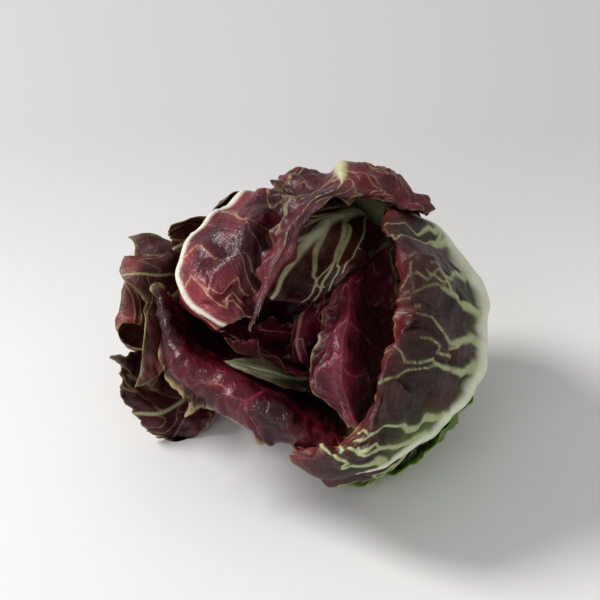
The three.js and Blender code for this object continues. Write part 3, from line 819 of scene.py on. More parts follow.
class Leaf:
    """One leaf: it is shaped on its settled sheet, then made and dressed."""

    def __init__(self, plan: LeafPlan, bed: LeafBed, creases: Creases) -> None:
        """Take the leaf's plan, and lay out its sheet.

        Args:
            plan: What makes this leaf.
            bed: The rule that it settles by.
            creases: The folds that it shares with the other leaves.
        """
        self.plan = plan
        self.bed = bed
        self.creases = creases
        self.sheet = bed.sheet(plan.frame_rows(), plan.side())

    def outline(self) -> tuple[np.ndarray, np.ndarray]:
        """Places along and across for every point, with notched margins and tip.

        Each margin moves in by ragged (1 + w) / 2, with w a wave of the place along.

        Returns:
            Places along and places across, from 0 to 1, as grids.
        """
        plan = self.plan
        relief = plan.relief
        along = np.linspace(0.0, 1.0, plan.rows)
        across = np.linspace(0.0, 1.0, plan.columns)

        def notches(offset: int, places: np.ndarray) -> np.ndarray:
            """Notches of many sizes along one edge."""
            line = np.stack([places * MARGIN_LENGTH, 0.0 * places, 0.0 * places], axis=-1)
            wave = Ripples(relief.seed + offset, *NOTCHES).values(line)
            return relief.ragged * np.clip(0.5 + 0.5 * wave, 0.0, 1.2)

        left = notches(EDGE_SEEDS[0], along)[:, None]
        right = notches(EDGE_SEEDS[1], along)[:, None]
        tip = 0.5 * notches(EDGE_SEEDS[2], across)[None, :]
        fade = smooth_step(0.02, 0.2, along)[:, None]
        across_grid = left * fade + (1.0 - (left + right) * fade) * across[None, :]
        along_grid = along[:, None] * (1.0 - tip)
        return along_grid, across_grid

    def shape(self) -> LeafShape:
        """Work out the finished form on the settled sheet.

        The sheet is read finely, its blade bulges by blister (1 - exp(-(d/w)^2)) at
        distance d from the veins, its margins ruffle by frill exp(-e/depth) at distance
        e from them, it is puckered and dented, and the shared creases bend it.

        Returns:
            The leaf's form.
        """
        plan = self.plan
        relief = plan.relief
        side = plan.side()
        grid = self.sheet.grid if side > 0.0 else self.sheet.grid[:, ::-1]
        rib = plan.rib_place(self.bed)
        rib = rib if side > 0.0 else 1.0 - rib
        along, across = self.outline()
        smooth = read_grid(grid, along, across)
        normals = grid_normals(smooth)

        ribs, veins = self.vein_lines(grid, rib)
        flat = smooth.reshape(-1, 3)
        rib_widths, rib_distance = (v.reshape(along.shape) for v in ribs.distances(flat))
        vein_widths, vein_distance = (v.reshape(along.shape) for v in veins.distances(flat))
        across_steps = np.linalg.norm(np.diff(smooth, axis=1), axis=-1)
        along_steps = np.linalg.norm(np.diff(smooth, axis=0), axis=-1)
        from_left = np.pad(np.cumsum(across_steps, axis=1), ((0, 0), (1, 0)))
        from_foot = np.pad(np.cumsum(along_steps, axis=0), ((1, 0), (0, 0)))
        margin = np.minimum(from_left, from_left[:, -1:] - from_left)
        margin = np.minimum(margin, from_foot[-1:] - from_foot)

        nearest = np.minimum(vein_distance, rib_distance)
        bulge = 1.0 - np.exp(-(nearest / relief.blister_width) ** 2)
        ruffle = Ripples(relief.seed + 1, *RUFFLES).values(smooth)
        pucker = Ripples(relief.seed + 2, *PUCKERS).values(smooth)
        dents = Ripples(relief.seed + 3, *DENTS).values(smooth)
        dents = dents - 1.3 * np.abs(dents)
        open_blade = smooth_step(REACH.open_from, REACH.open_to, along)
        lift = -relief.blister * bulge * open_blade
        lift += relief.frill * ruffle * np.exp(-margin / relief.frill_depth) * open_blade
        lift += relief.pucker * pucker * open_blade
        lift += relief.crumple * dents * open_blade
        lift *= 1.0 - 0.85 * np.exp(-(rib_distance / REACH.calm_rib) ** 2)
        points = self.creases.bend(smooth + lift[..., None] * normals)
        normals = grid_normals(points)

        plain = 0.3 + 0.7 * np.exp(-(rib_distance / plan.veins.fade) ** 2)
        rib_end = plan.veins.rib_end
        ribbed = 1.0 - smooth_step(rib_end, rib_end + REACH.rib_fade, along)
        ridge = relief.ridge * plain * np.exp(-(vein_widths * SECTION.ridge) ** 2)
        bar = self.rib_bar(rib_widths, along)
        thin = smooth_step(0.0, REACH.worn_edge, margin) * 0.6 + 0.4
        half = 0.5 * relief.blade * thin
        marks = {
            "vein": plain * np.exp(-(vein_widths * SECTION.vein) ** 2),
            "rib": np.exp(-(rib_widths * SECTION.rib) ** 4),
            "halo": (ribbed * np.exp(-rib_distance / REACH.rib_halo) * 0.75
                     + plain * np.exp(-vein_distance / REACH.vein_halo) * 0.35),
            "rim": np.exp(-(margin / relief.rim) ** 2),
            "along": along,
            "edge": np.exp(-margin / REACH.lip),
        }
        plane = np.stack([from_left, from_foot], axis=-1)
        inner_half = half + SECTION.inward * bar
        return LeafShape(points, normals, half + ridge + bar, inner_half, marks, plane)

    def rib_bar(self, rib_widths: np.ndarray, along: np.ndarray) -> np.ndarray:
        """How far the midrib stands out, a round bar that thins out to the tip."""
        veins = self.plan.veins
        thinner = (1.0 - along) ** SECTION.thinning
        size = veins.rib_tip + (veins.rib_foot - veins.rib_tip) * thinner
        return SECTION.rise * size * np.exp(-(rib_widths * SECTION.bar) ** 2)

    def vein_lines(self, grid: np.ndarray, rib: float) -> tuple[VeinLines, VeinLines]:
        """Lay the midrib and the side veins on the sheet.

        Args:
            grid: The settled sheet with its normal outwards.
            rib: Where the rib lies across it.

        Returns:
            The midrib's pieces and the side veins' pieces.
        """
        habit = self.plan.veins

        def pieces(lines: list) -> VeinLines:
            """Cut lines into straight pieces in space."""
            starts, ends, widths = [], [], []
            for along, across, width in lines:
                points = read_grid(grid, along, np.clip(across, 0.0, 1.0))
                starts.append(points[:-1])
                ends.append(points[1:])
                widths.append(0.5 * (width[:-1] + width[1:]))
            return VeinLines(np.concatenate(starts), np.concatenate(ends), np.concatenate(widths))

        return pieces([habit.rib_line(rib)]), pieces(habit.lines(rib))

    def build(self, shift: np.ndarray) -> bpy.types.Object:
        """Make the leaf's closed shell, and ride it on the root body.

        Args:
            shift: From the stations' frame to the object's, in millimetres.

        Returns:
            The finished piece.
        """
        form = self.shape()
        outer = form.points + form.normals * form.outer_half[..., None]
        inner = form.points - form.normals * form.inner_half[..., None]
        layers = np.stack([outer, inner]) + shift
        layers[..., 2] = np.maximum(layers[..., 2], 0.0)
        rows, columns = form.points.shape[:2]
        index = np.arange(2 * rows * columns).reshape(2, rows, columns)
        faces = np.concatenate([grid_faces(index[0]), grid_faces(index[1])[:, ::-1],
                                rim_faces(index[0], index[1])])
        marks = {name: np.concatenate([v.ravel(), v.ravel()]) for name, v in form.marks.items()}
        marks["inner"] = np.repeat([Face.OUTER.value, Face.INNER.value], rows * columns)
        plane = np.concatenate([form.plane.reshape(-1, 2)] * 2)
        piece = make_piece(self.plan.name + "_leafwork", layers.reshape(-1, 3), faces, marks, plane)
        piece.data.materials.append(self.plan.finish.material())
        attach(piece, ROOT)
        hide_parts(self.plan.name)
        return piece


def grid_faces(index: np.ndarray) -> np.ndarray:
    """Four-sided faces of a grid of vertex numbers, along and then across."""
    return np.stack([index[:-1, :-1], index[1:, :-1], index[1:, 1:], index[:-1, 1:]],
                    axis=-1).reshape(-1, 4)


def rim_faces(outer: np.ndarray, inner: np.ndarray) -> np.ndarray:
    """The faces that close a shell round the edges of its two grids.

    Args:
        outer: Vertex numbers of the outer grid.
        inner: Vertex numbers of the inner grid.

    Returns:
        Four-sided faces that point away from the sheet.
    """
    def loop(index: np.ndarray) -> np.ndarray:
        """Vertex numbers round the edge of a grid."""
        return np.concatenate([index[:-1, 0], index[-1, :-1], index[:0:-1, -1], index[0, :0:-1]])

    around, below = loop(outer), loop(inner)
    return np.stack([np.roll(around, -1), around, below, np.roll(below, -1)], axis=-1)


def make_piece(name: str, points: np.ndarray, faces: np.ndarray, marks: dict[str, np.ndarray],
               plane: np.ndarray) -> bpy.types.Object:
    """Make a smooth-shaded mesh object from arrays.

    Args:
        name: The piece's name.
        points: Vertices in millimetres.
        faces: Four-sided faces as vertex numbers.
        marks: Named values for each vertex.
        plane: Distances across and along for each vertex, in millimetres.

    Returns:
        The object, linked to the scene.
    """
    mesh = bpy.data.meshes.new(name)
    mesh.vertices.add(len(points))
    mesh.vertices.foreach_set("co", (points * MILLIMETRE).astype(np.float32).ravel())
    mesh.loops.add(faces.size)
    mesh.loops.foreach_set("vertex_index", faces.astype(np.int32).ravel())
    mesh.polygons.add(len(faces))
    mesh.polygons.foreach_set("loop_start", np.arange(0, faces.size, 4, dtype=np.int32))
    mesh.polygons.foreach_set("use_smooth", np.ones(len(faces), dtype=bool))
    for mark, values in marks.items():
        layer = mesh.attributes.new(mark, "FLOAT", "POINT")
        layer.data.foreach_set("value", values.astype(np.float32))
    flat = (plane / 100.0)[faces.ravel()]
    mesh.uv_layers.new(name="leaf").data.foreach_set("uv", flat.astype(np.float32).ravel())
    mesh.update(calc_edges=True)
    mesh.validate()
    piece = bpy.data.objects.new(name, mesh)
    bpy.context.scene.collection.objects.link(piece)
    return piece


# ---------------------------------------------------------------------------
# Finishes
# ---------------------------------------------------------------------------

class Wire:
    """A shader output to reckon with; each operator adds its Math node."""

    def __init__(self, bench: "Bench", socket: bpy.types.NodeSocket) -> None:
        """Hold a socket and the bench that its nodes stand on."""
        self.bench = bench
        self.socket = socket

    def __add__(self, other: "Wire | float") -> "Wire":
        """Self plus other."""
        return self.bench.maths("ADD", self, other)

    def __mul__(self, other: "Wire | float") -> "Wire":
        """Self times other."""
        return self.bench.maths("MULTIPLY", self, other)

    def __sub__(self, other: "Wire | float") -> "Wire":
        """Self minus other."""
        return self.bench.maths("SUBTRACT", self, other)

    def __rsub__(self, other: float) -> "Wire":
        """Other minus self."""
        return self.bench.maths("SUBTRACT", other, self)


Colour = tuple[float, float, float]


class Bench:
    """A material's node tree, with one method for each sort of node that it needs."""

    def __init__(self, name: str) -> None:
        """Make an empty material of this name."""
        self.material = bpy.data.materials.new(name)
        self.material.use_nodes = True
        self.tree = self.material.node_tree
        self.tree.nodes.clear()

    def node(self, kind: str, settings: dict, inputs: dict) -> bpy.types.Node:
        """Add any node.

        Args:
            kind: The node's type, without its ShaderNode prefix.
            settings: Properties to set first.
            inputs: Values or wires for its sockets, by name or number.

        Returns:
            The node.
        """
        node = self.tree.nodes.new("ShaderNode" + kind)
        for key, value in settings.items():
            setattr(node, key, value)
        for key, value in inputs.items():
            if isinstance(value, Wire):
                self.tree.links.new(value.socket, node.inputs[key])
            elif isinstance(value, tuple) and len(value) == 3 and node.inputs[key].type == "RGBA":
                node.inputs[key].default_value = (*value, 1.0)
            else:
                node.inputs[key].default_value = value
        return node

    def maths(self, operation: str, a: Wire | float, b: Wire | float = 0.0) -> Wire:
        """One Math node."""
        node = self.node("Math", {"operation": operation}, {0: a, 1: b})
        return Wire(self, node.outputs[0])

    def mark(self, name: str) -> Wire:
        """A value that the mesh carries."""
        node = self.node("Attribute", {"attribute_name": name}, {})
        return Wire(self, node.outputs["Fac"])

    def span(self, value: Wire, low: float, high: float) -> Wire:
        """Ease a value from 0 at low to 1 at high."""
        node = self.node("MapRange", {"interpolation_type": "SMOOTHSTEP"},
                         {"Value": value, "From Min": low, "From Max": high})
        return Wire(self, node.outputs[0])

    def blend(self, factor: Wire | float, a: Wire | Colour, b: Wire | Colour) -> Wire:
        """Colour a where the factor is 0, and colour b where it is 1."""
        node = self.node("Mix", {"data_type": "RGBA", "clamp_factor": True},
                         {0: factor, 6: a, 7: b})
        return Wire(self, node.outputs[2])

    def where(self) -> Wire:
        """The place on the object, in metres."""
        return Wire(self, self.node("TexCoord", {}, {}).outputs["Object"])

    def on_leaf(self) -> Wire:
        """The place on the leaf, across and along, in tenths of a metre."""
        return Wire(self, self.node("UVMap", {"uv_map": "leaf"}, {}).outputs[0])

    def noise(self, place: Wire, scale: float, detail: float = 3.0) -> Wire:
        """Soft noise from 0 to 1."""
        node = self.node("TexNoise", {}, {"Vector": place, "Scale": scale, "Detail": detail})
        return Wire(self, node.outputs["Fac"])

    def cell_edges(self, place: Wire, scale: float) -> Wire:
        """Distance to the edges of random cells."""
        node = self.node("TexVoronoi", {"feature": "DISTANCE_TO_EDGE"},
                         {"Vector": place, "Scale": scale})
        return Wire(self, node.outputs["Distance"])

    def stray(self, place: Wire, scale: float, amount: float) -> Wire:
        """A place moved about by noise, so that a pattern on it looks grown."""
        noise = self.node("TexNoise", {}, {"Vector": place, "Scale": scale, "Detail": 2.0})
        centred = self.node("VectorMath", {"operation": "SUBTRACT"},
                            {0: Wire(self, noise.outputs["Color"]), 1: (0.5, 0.5, 0.5)})
        sized = self.node("VectorMath", {"operation": "SCALE"},
                          {0: Wire(self, centred.outputs[0]), "Scale": amount})
        moved = self.node("VectorMath", {"operation": "ADD"},
                          {0: place, 1: Wire(self, sized.outputs[0])})
        return Wire(self, moved.outputs[0])

    def bump(self, height: Wire, depth: float) -> Wire:
        """A normal that follows a height, in metres of depth."""
        node = self.node("Bump", {}, {"Height": height, "Distance": depth, "Strength": 1.0})
        return Wire(self, node.outputs[0])

    def finish(self, inputs: dict) -> bpy.types.Material:
        """End in a Principled shader with these inputs."""
        shader = self.node("BsdfPrincipled", {}, inputs)
        output = self.node("OutputMaterial", {}, {})
        self.tree.links.new(shader.outputs[0], output.inputs["Surface"])
        return self.material


@dataclass(frozen=True)
class Texture:
    """Scales of the patterns that every leaf shares, and how deep its skin is dented.

    The nets lie on the leaf's own plane, so their scales count in tenths of a metre. The
    others count in metres.

    Attributes:
        mottle: Broad patches of lighter and darker blade.
        fine: Fine grain.
        uneven: Patches where the halo reaches further.
        rim: Breaks in the pale edge.
        crumples: Small dents of the skin.
        net: Cells of the net of veins.
        small_net: Cells of the finest net.
        wander: Noise that makes the nets crooked.
        wander_by: How far it moves them.
        depth: How deep the dents go, in metres.
    """

    mottle: float = 55.0
    fine: float = 420.0
    uneven: float = 38.0
    rim: float = 160.0
    crumples: float = 230.0
    net: float = 24.0
    small_net: float = 62.0
    wander: float = 30.0
    wander_by: float = 0.022
    depth: float = 0.0003


@dataclass(frozen=True)
class LeafFinish:
    """How a leaf looks.

    Attributes:
        name: What the finish is called.
        outer: Colour of the outer face.
        outer_deep: Its darker patches.
        inner: Colour of the inner face.
        inner_deep: Its darker patches.
        halo: Colour that runs out from the rib and veins into the blade.
        halo_strength: How far and how plainly it does.
        vein: Colour of the side veins.
        vein_strength: How plainly the veins show, from 0 to 1.
        rib: Colour of the midrib.
        foot: Colour of the foot of the leaf.
        rim: Colour of the very edge.
        rim_strength: How plainly the edge shows.
        roughness: How dull the waxy surface is.
        net_strength: How plainly the finest net of veins shows.
        foot_end: How far along the leaf the foot's colour reaches.
        lip: Colour of a broad band along the margins.
        lip_strength: How plainly that band shows.
    """

    name: str
    outer: Colour
    outer_deep: Colour
    inner: Colour
    inner_deep: Colour
    halo: Colour
    halo_strength: float
    vein: Colour
    vein_strength: float
    rib: Colour
    foot: Colour
    rim: Colour
    rim_strength: float
    roughness: float
    net_strength: float = 0.06
    foot_end: float = 0.12
    lip: Colour = (0.0, 0.0, 0.0)
    lip_strength: float = 0.0

    def material(self) -> bpy.types.Material:
        """The leaf's material, made once for every leaf that shares it."""
        known = bpy.data.materials.get(self.name)
        return known if known else self.make()

    def make(self) -> bpy.types.Material:
        """Lay out the finish's nodes.

        Two faces of different colour are mottled, a fine net of veins is drawn over
        them, and then come the halo, the foot, the side veins, the rib and the rim.

        Returns:
            The new material.
        """
        texture = Texture()
        bench = Bench(self.name)
        place = bench.where()
        mottle = bench.noise(place, texture.mottle, 5.0)
        fine = bench.noise(place, texture.fine)
        deep = bench.span(mottle, 0.40, 0.62)
        outer = bench.blend(deep, self.outer_deep, self.outer)
        inner = bench.blend(deep, self.inner_deep, self.inner)
        blade = bench.blend(bench.mark("inner"), outer, inner)
        grown = bench.stray(bench.on_leaf(), texture.wander, texture.wander_by)
        net = 1.0 - bench.span(bench.cell_edges(grown, texture.net), 0.0, 0.09)
        small = 1.0 - bench.span(bench.cell_edges(grown, texture.small_net), 0.0, 0.12)
        blade = bench.blend((net * 0.75 + small * 0.25) * self.net_strength, blade, self.halo)
        uneven = bench.span(bench.noise(place, texture.uneven), 0.3, 0.68)
        halo = bench.span(bench.mark("halo") * (uneven + 0.25), 0.1, 0.9)
        blade = bench.blend(halo * self.halo_strength, blade, self.halo)
        foot = 1.0 - bench.span(bench.mark("along") + mottle * 0.25 - 0.12,
                                self.foot_end * 0.35, self.foot_end)
        blade = bench.blend(foot * (1.0 - bench.mark("inner") * 0.75), blade, self.foot)
        blade = bench.blend(bench.mark("edge") * self.lip_strength, blade, self.lip)
        vein = bench.span(bench.mark("vein"), 0.12, 0.75)
        blade = bench.blend(vein * (fine * 0.5 + 0.6) * self.vein_strength, blade, self.vein)
        blade = bench.blend(bench.mark("rib") * (fine * 0.3 + 0.8), blade, self.rib)
        breaks = bench.span(bench.noise(place, texture.rim, 2.0), 0.32, 0.6)
        rim = bench.mark("rim") * breaks
        blade = bench.blend(rim * self.rim_strength, blade, self.rim)
        rough = fine * 0.16 + (mottle * 0.14 + (self.roughness - 0.15))
        crumples = bench.noise(place, texture.crumples, 4.0)
        height = fine * 0.25 + net * 0.3 + small * 0.12 + crumples * 1.9
        return bench.finish({
            "Base Color": blade,
            "Roughness": rough,
            "Normal": bench.bump(height, texture.depth),
            "Subsurface Weight": 0.12,
            "Subsurface Radius": (0.0035, 0.0016, 0.0010),
            "Specular IOR Level": 0.34,
        })


def paint(red: float, green: float, blue: float) -> Colour:
    """A colour given as a screen shows it, from 0 to 255, made linear.

    Each channel c becomes ((c + 0.055) / 1.055)^2.4, or c / 12.92 when it is very dark.
    """
    shown = np.array([red, green, blue]) / 255.0
    linear = np.where(shown <= 0.04045, shown / 12.92, ((shown + 0.055) / 1.055) ** 2.4)
    return tuple(float(value) for value in linear)


# ---------------------------------------------------------------------------
# The stump
# ---------------------------------------------------------------------------

@dataclass(frozen=True)
class StumpWork:
    """The cut core: a blunt cone with leaf scars round it and a dried, ringed cut face.

    Attributes:
        pith: Colour of the fresh inside.
        dried: Colour of the dried parts of the cut.
        brown: Colour of the rim of the cut.
        skin: Colour of the side.
        scar: How far the leaf scars stand out, in millimetres.
        uneven: How far the whole core is out of true, in millimetres.
        dish: How far the cut face has sunk in the middle.
        side_steps: Rings of the mesh on the side.
        rim_steps: Rings round the worn rim, counted with the side's last.
        face_steps: Rings of the cut face, counted with the rim's last.
    """

    pith: Colour = paint(206, 205, 168)
    dried: Colour = paint(176, 158, 118)
    brown: Colour = paint(112, 78, 48)
    skin: Colour = paint(196, 198, 160)
    scar: float = 0.35
    uneven: float = 0.12
    dish: float = 0.8
    side_steps: int = 40
    rim_steps: int = 7
    face_steps: int = 22

    def build(self, shift: np.ndarray) -> bpy.types.Object:
        """Turn the profile round the axis, and ride the stump on the root body.

        The side has scar ripples sin(1.3 h + 3 a)^2 at height h and angle a, and the cut
        face sinks by dish (1 - (r / R)^2).

        Args:
            shift: From the stations' frame to the object's, in millimetres.

        Returns:
            The finished piece.
        """
        around = np.linspace(0.0, 360.0, STUMP.sides, endpoint=False)
        side = np.linspace(0.0, 1.0, self.side_steps)
        face = np.linspace(1.0, 0.0, self.face_steps)[1:]
        worn = STUMP.cut_height - STUMP.bevel
        heights = np.concatenate([[STUMP.tip_height], STUMP.tip_height + STUMP.bevel
                                  + (worn - STUMP.tip_height - STUMP.bevel) * side])
        radii = np.concatenate([[0.0], STUMP.tip_radius
                                + (STUMP.cut_radius - STUMP.tip_radius) * side])
        corner = np.linspace(0.0, math.pi / 2.0, self.rim_steps)[1:]
        heights = np.concatenate([heights, worn + STUMP.bevel * np.sin(corner)])
        radii = np.concatenate([radii, STUMP.cut_radius - STUMP.bevel * (1.0 - np.cos(corner))])
        inner = (STUMP.cut_radius - STUMP.bevel) * face
        heights = np.concatenate([heights, STUMP.cut_height - self.dish * (1.0 - face ** 2)])
        radii = np.concatenate([radii, inner])
        height, turn = np.meshgrid(heights, around, indexing="ij")
        radius = np.repeat(radii[:, None], STUMP.sides, axis=1)
        ring = np.arange(len(radii))
        on_side = (ring <= self.side_steps + 1)[:, None] & (radius > 0.1)
        ripples = np.sin(1.3 * height + 3.0 * np.radians(turn)) ** 2
        radius = radius - np.where(on_side, self.scar * (1.0 - ripples), 0.0)
        points = STUMP.points(turn, height, radius)
        waves = Ripples(71, 1.6, 7.0).values(points)
        uneven = self.uneven * waves * smooth_step(0.0, 3.0, radius)
        points += uneven[..., None] * STUMP.directions()[0]
        index = np.arange(points[..., 0].size).reshape(radius.shape)
        closed = np.concatenate([index, index[:, :1]], axis=1)
        faces = grid_faces(closed)
        profile = ring[:, None] / (len(radii) - 1.0) + 0.0 * radius
        rim_end = self.side_steps + self.rim_steps - 1.0
        marks = {
            "cut": smooth_step(rim_end + 0.5, rim_end + 2.0, ring)[:, None] + 0.0 * radius,
            "radius": radius / STUMP.cut_radius,
        }
        marks = {name: value.ravel() for name, value in marks.items()}
        plane = np.stack([turn / 3.6, 100.0 * profile], axis=-1).reshape(-1, 2)
        piece = make_piece("stump_core", (points + shift).reshape(-1, 3), faces, marks, plane)
        piece.data.materials.append(self.material())
        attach(piece, ROOT)
        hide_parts("stump")
        return piece

    def material(self) -> bpy.types.Material:
        """Pale skin with a ringed, drying cut face and a browned rim."""
        bench = Bench("cut_stump_finish")
        place = bench.where()
        mottle = bench.noise(place, 160.0, 5.0)
        grain = bench.noise(place, 900.0, 3.0)
        radius = bench.mark("radius")
        rings = bench.maths("SINE", (radius + mottle * 0.16) * 34.0) * 0.5 + 0.5
        face = bench.blend(rings * 0.5 + mottle * 0.5, self.pith, self.dried)
        face = bench.blend(bench.span(radius + mottle * 0.3, 0.92, 1.12), face, self.brown)
        skin = bench.blend(bench.span(mottle, 0.45, 0.75), self.skin, self.dried)
        colour = bench.blend(bench.mark("cut"), skin, face)
        return bench.finish({
            "Base Color": colour,
            "Roughness": mottle * 0.2 + 0.55,
            "Normal": bench.bump(grain * 0.5 + rings * 0.3 + mottle * 0.6, 0.0004),
            "Subsurface Weight": 0.15,
            "Subsurface Radius": (0.004, 0.003, 0.002),
        })


# ---------------------------------------------------------------------------
# The leaves of this head
# ---------------------------------------------------------------------------

HEART = LeafFinish(
    "heart_leaf_finish",
    outer=paint(96, 14, 34), outer_deep=paint(50, 4, 14),
    inner=paint(74, 8, 24), inner_deep=paint(34, 2, 8),
    halo=paint(128, 36, 58), halo_strength=0.3, vein=paint(180, 140, 124), vein_strength=0.5,
    rib=paint(170, 110, 110), foot=paint(150, 120, 108), foot_end=0.3,
    rim=paint(130, 66, 66), rim_strength=0.3, roughness=0.34)
PALE = LeafFinish(
    "pale_leaf_finish",
    outer=paint(116, 108, 84), outer_deep=paint(70, 50, 46),
    inner=paint(110, 104, 72), inner_deep=paint(66, 46, 40),
    halo=paint(158, 158, 112), halo_strength=0.6, vein=paint(186, 184, 150), vein_strength=0.6,
    net_strength=0.1, rib=paint(200, 200, 172), foot=paint(180, 182, 146), foot_end=0.5,
    rim=paint(96, 34, 40), rim_strength=0.5, roughness=0.32)
SHEEN = LeafFinish(
    "folded_leaf_finish",
    outer=paint(92, 22, 40), outer_deep=paint(58, 8, 20),
    inner=paint(82, 6, 22), inner_deep=paint(38, 2, 9),
    halo=paint(126, 36, 58), halo_strength=0.35, vein=paint(170, 96, 92), vein_strength=0.5,
    rib=paint(122, 34, 52), foot=paint(150, 120, 100),
    rim=paint(176, 160, 106), rim_strength=0.85, roughness=0.31)
RIBBED = LeafFinish(
    "ribbed_leaf_finish",
    outer=paint(66, 22, 24), outer_deep=paint(38, 8, 12),
    inner=paint(72, 18, 24), inner_deep=paint(36, 5, 10),
    halo=paint(112, 66, 54), halo_strength=0.4, vein=paint(186, 184, 138), vein_strength=0.9,
    rib=paint(208, 208, 166), foot=paint(140, 144, 92), foot_end=0.32,
    rim=paint(122, 46, 56), rim_strength=0.4, roughness=0.32)
CAP = LeafFinish(
    "cap_leaf_finish",
    outer=paint(92, 20, 34), outer_deep=paint(46, 9, 17),
    inner=paint(74, 12, 22), inner_deep=paint(38, 4, 10),
    halo=paint(152, 46, 60), halo_strength=0.75, vein=paint(190, 168, 126), vein_strength=0.6,
    rib=paint(220, 216, 200), foot=paint(196, 190, 160),
    rim=paint(150, 118, 96), rim_strength=0.4, roughness=0.34)
OUTER = LeafFinish(
    "outer_leaf_finish",
    outer=paint(88, 16, 28), outer_deep=paint(50, 7, 15),
    inner=paint(66, 14, 24), inner_deep=paint(34, 5, 10),
    halo=paint(120, 62, 66), halo_strength=0.3, vein=paint(172, 152, 112), vein_strength=0.5,
    rib=paint(188, 186, 142), foot=paint(178, 180, 136), foot_end=0.16,
    rim=paint(150, 136, 88), rim_strength=0.6, roughness=0.38)
WRAPPER = LeafFinish(
    "wrapper_leaf_finish",
    outer=paint(60, 20, 24), outer_deep=paint(36, 9, 13),
    inner=paint(64, 10, 22), inner_deep=paint(32, 4, 10),
    halo=paint(112, 152, 46), halo_strength=0.9, vein=paint(188, 198, 146), vein_strength=0.9,
    rib=paint(232, 236, 212), foot=paint(216, 220, 192),
    rim=paint(176, 156, 84), rim_strength=0.7, lip=paint(108, 18, 30), lip_strength=1.0,
    roughness=0.42)
UNDER = LeafFinish(
    "under_leaf_finish",
    outer=paint(84, 108, 40), outer_deep=paint(66, 40, 30),
    inner=paint(64, 10, 22), inner_deep=paint(32, 4, 10),
    halo=paint(112, 152, 52), halo_strength=0.8, vein=paint(176, 190, 128), vein_strength=0.9,
    net_strength=0.1, rib=paint(226, 230, 200), foot=paint(216, 220, 192),
    rim=paint(126, 168, 54), rim_strength=0.9, lip=paint(100, 146, 40), lip_strength=0.9,
    roughness=0.42)
BROWN = LeafFinish(
    "brown_leaf_finish",
    outer=paint(116, 50, 50), outer_deep=paint(66, 24, 27),
    inner=paint(108, 44, 44), inner_deep=paint(58, 20, 22),
    halo=paint(92, 60, 44), halo_strength=0.35, vein=paint(140, 124, 76), vein_strength=0.55,
    rib=paint(150, 146, 98), foot=paint(140, 140, 90),
    rim=paint(124, 134, 66), rim_strength=0.7, roughness=0.44)


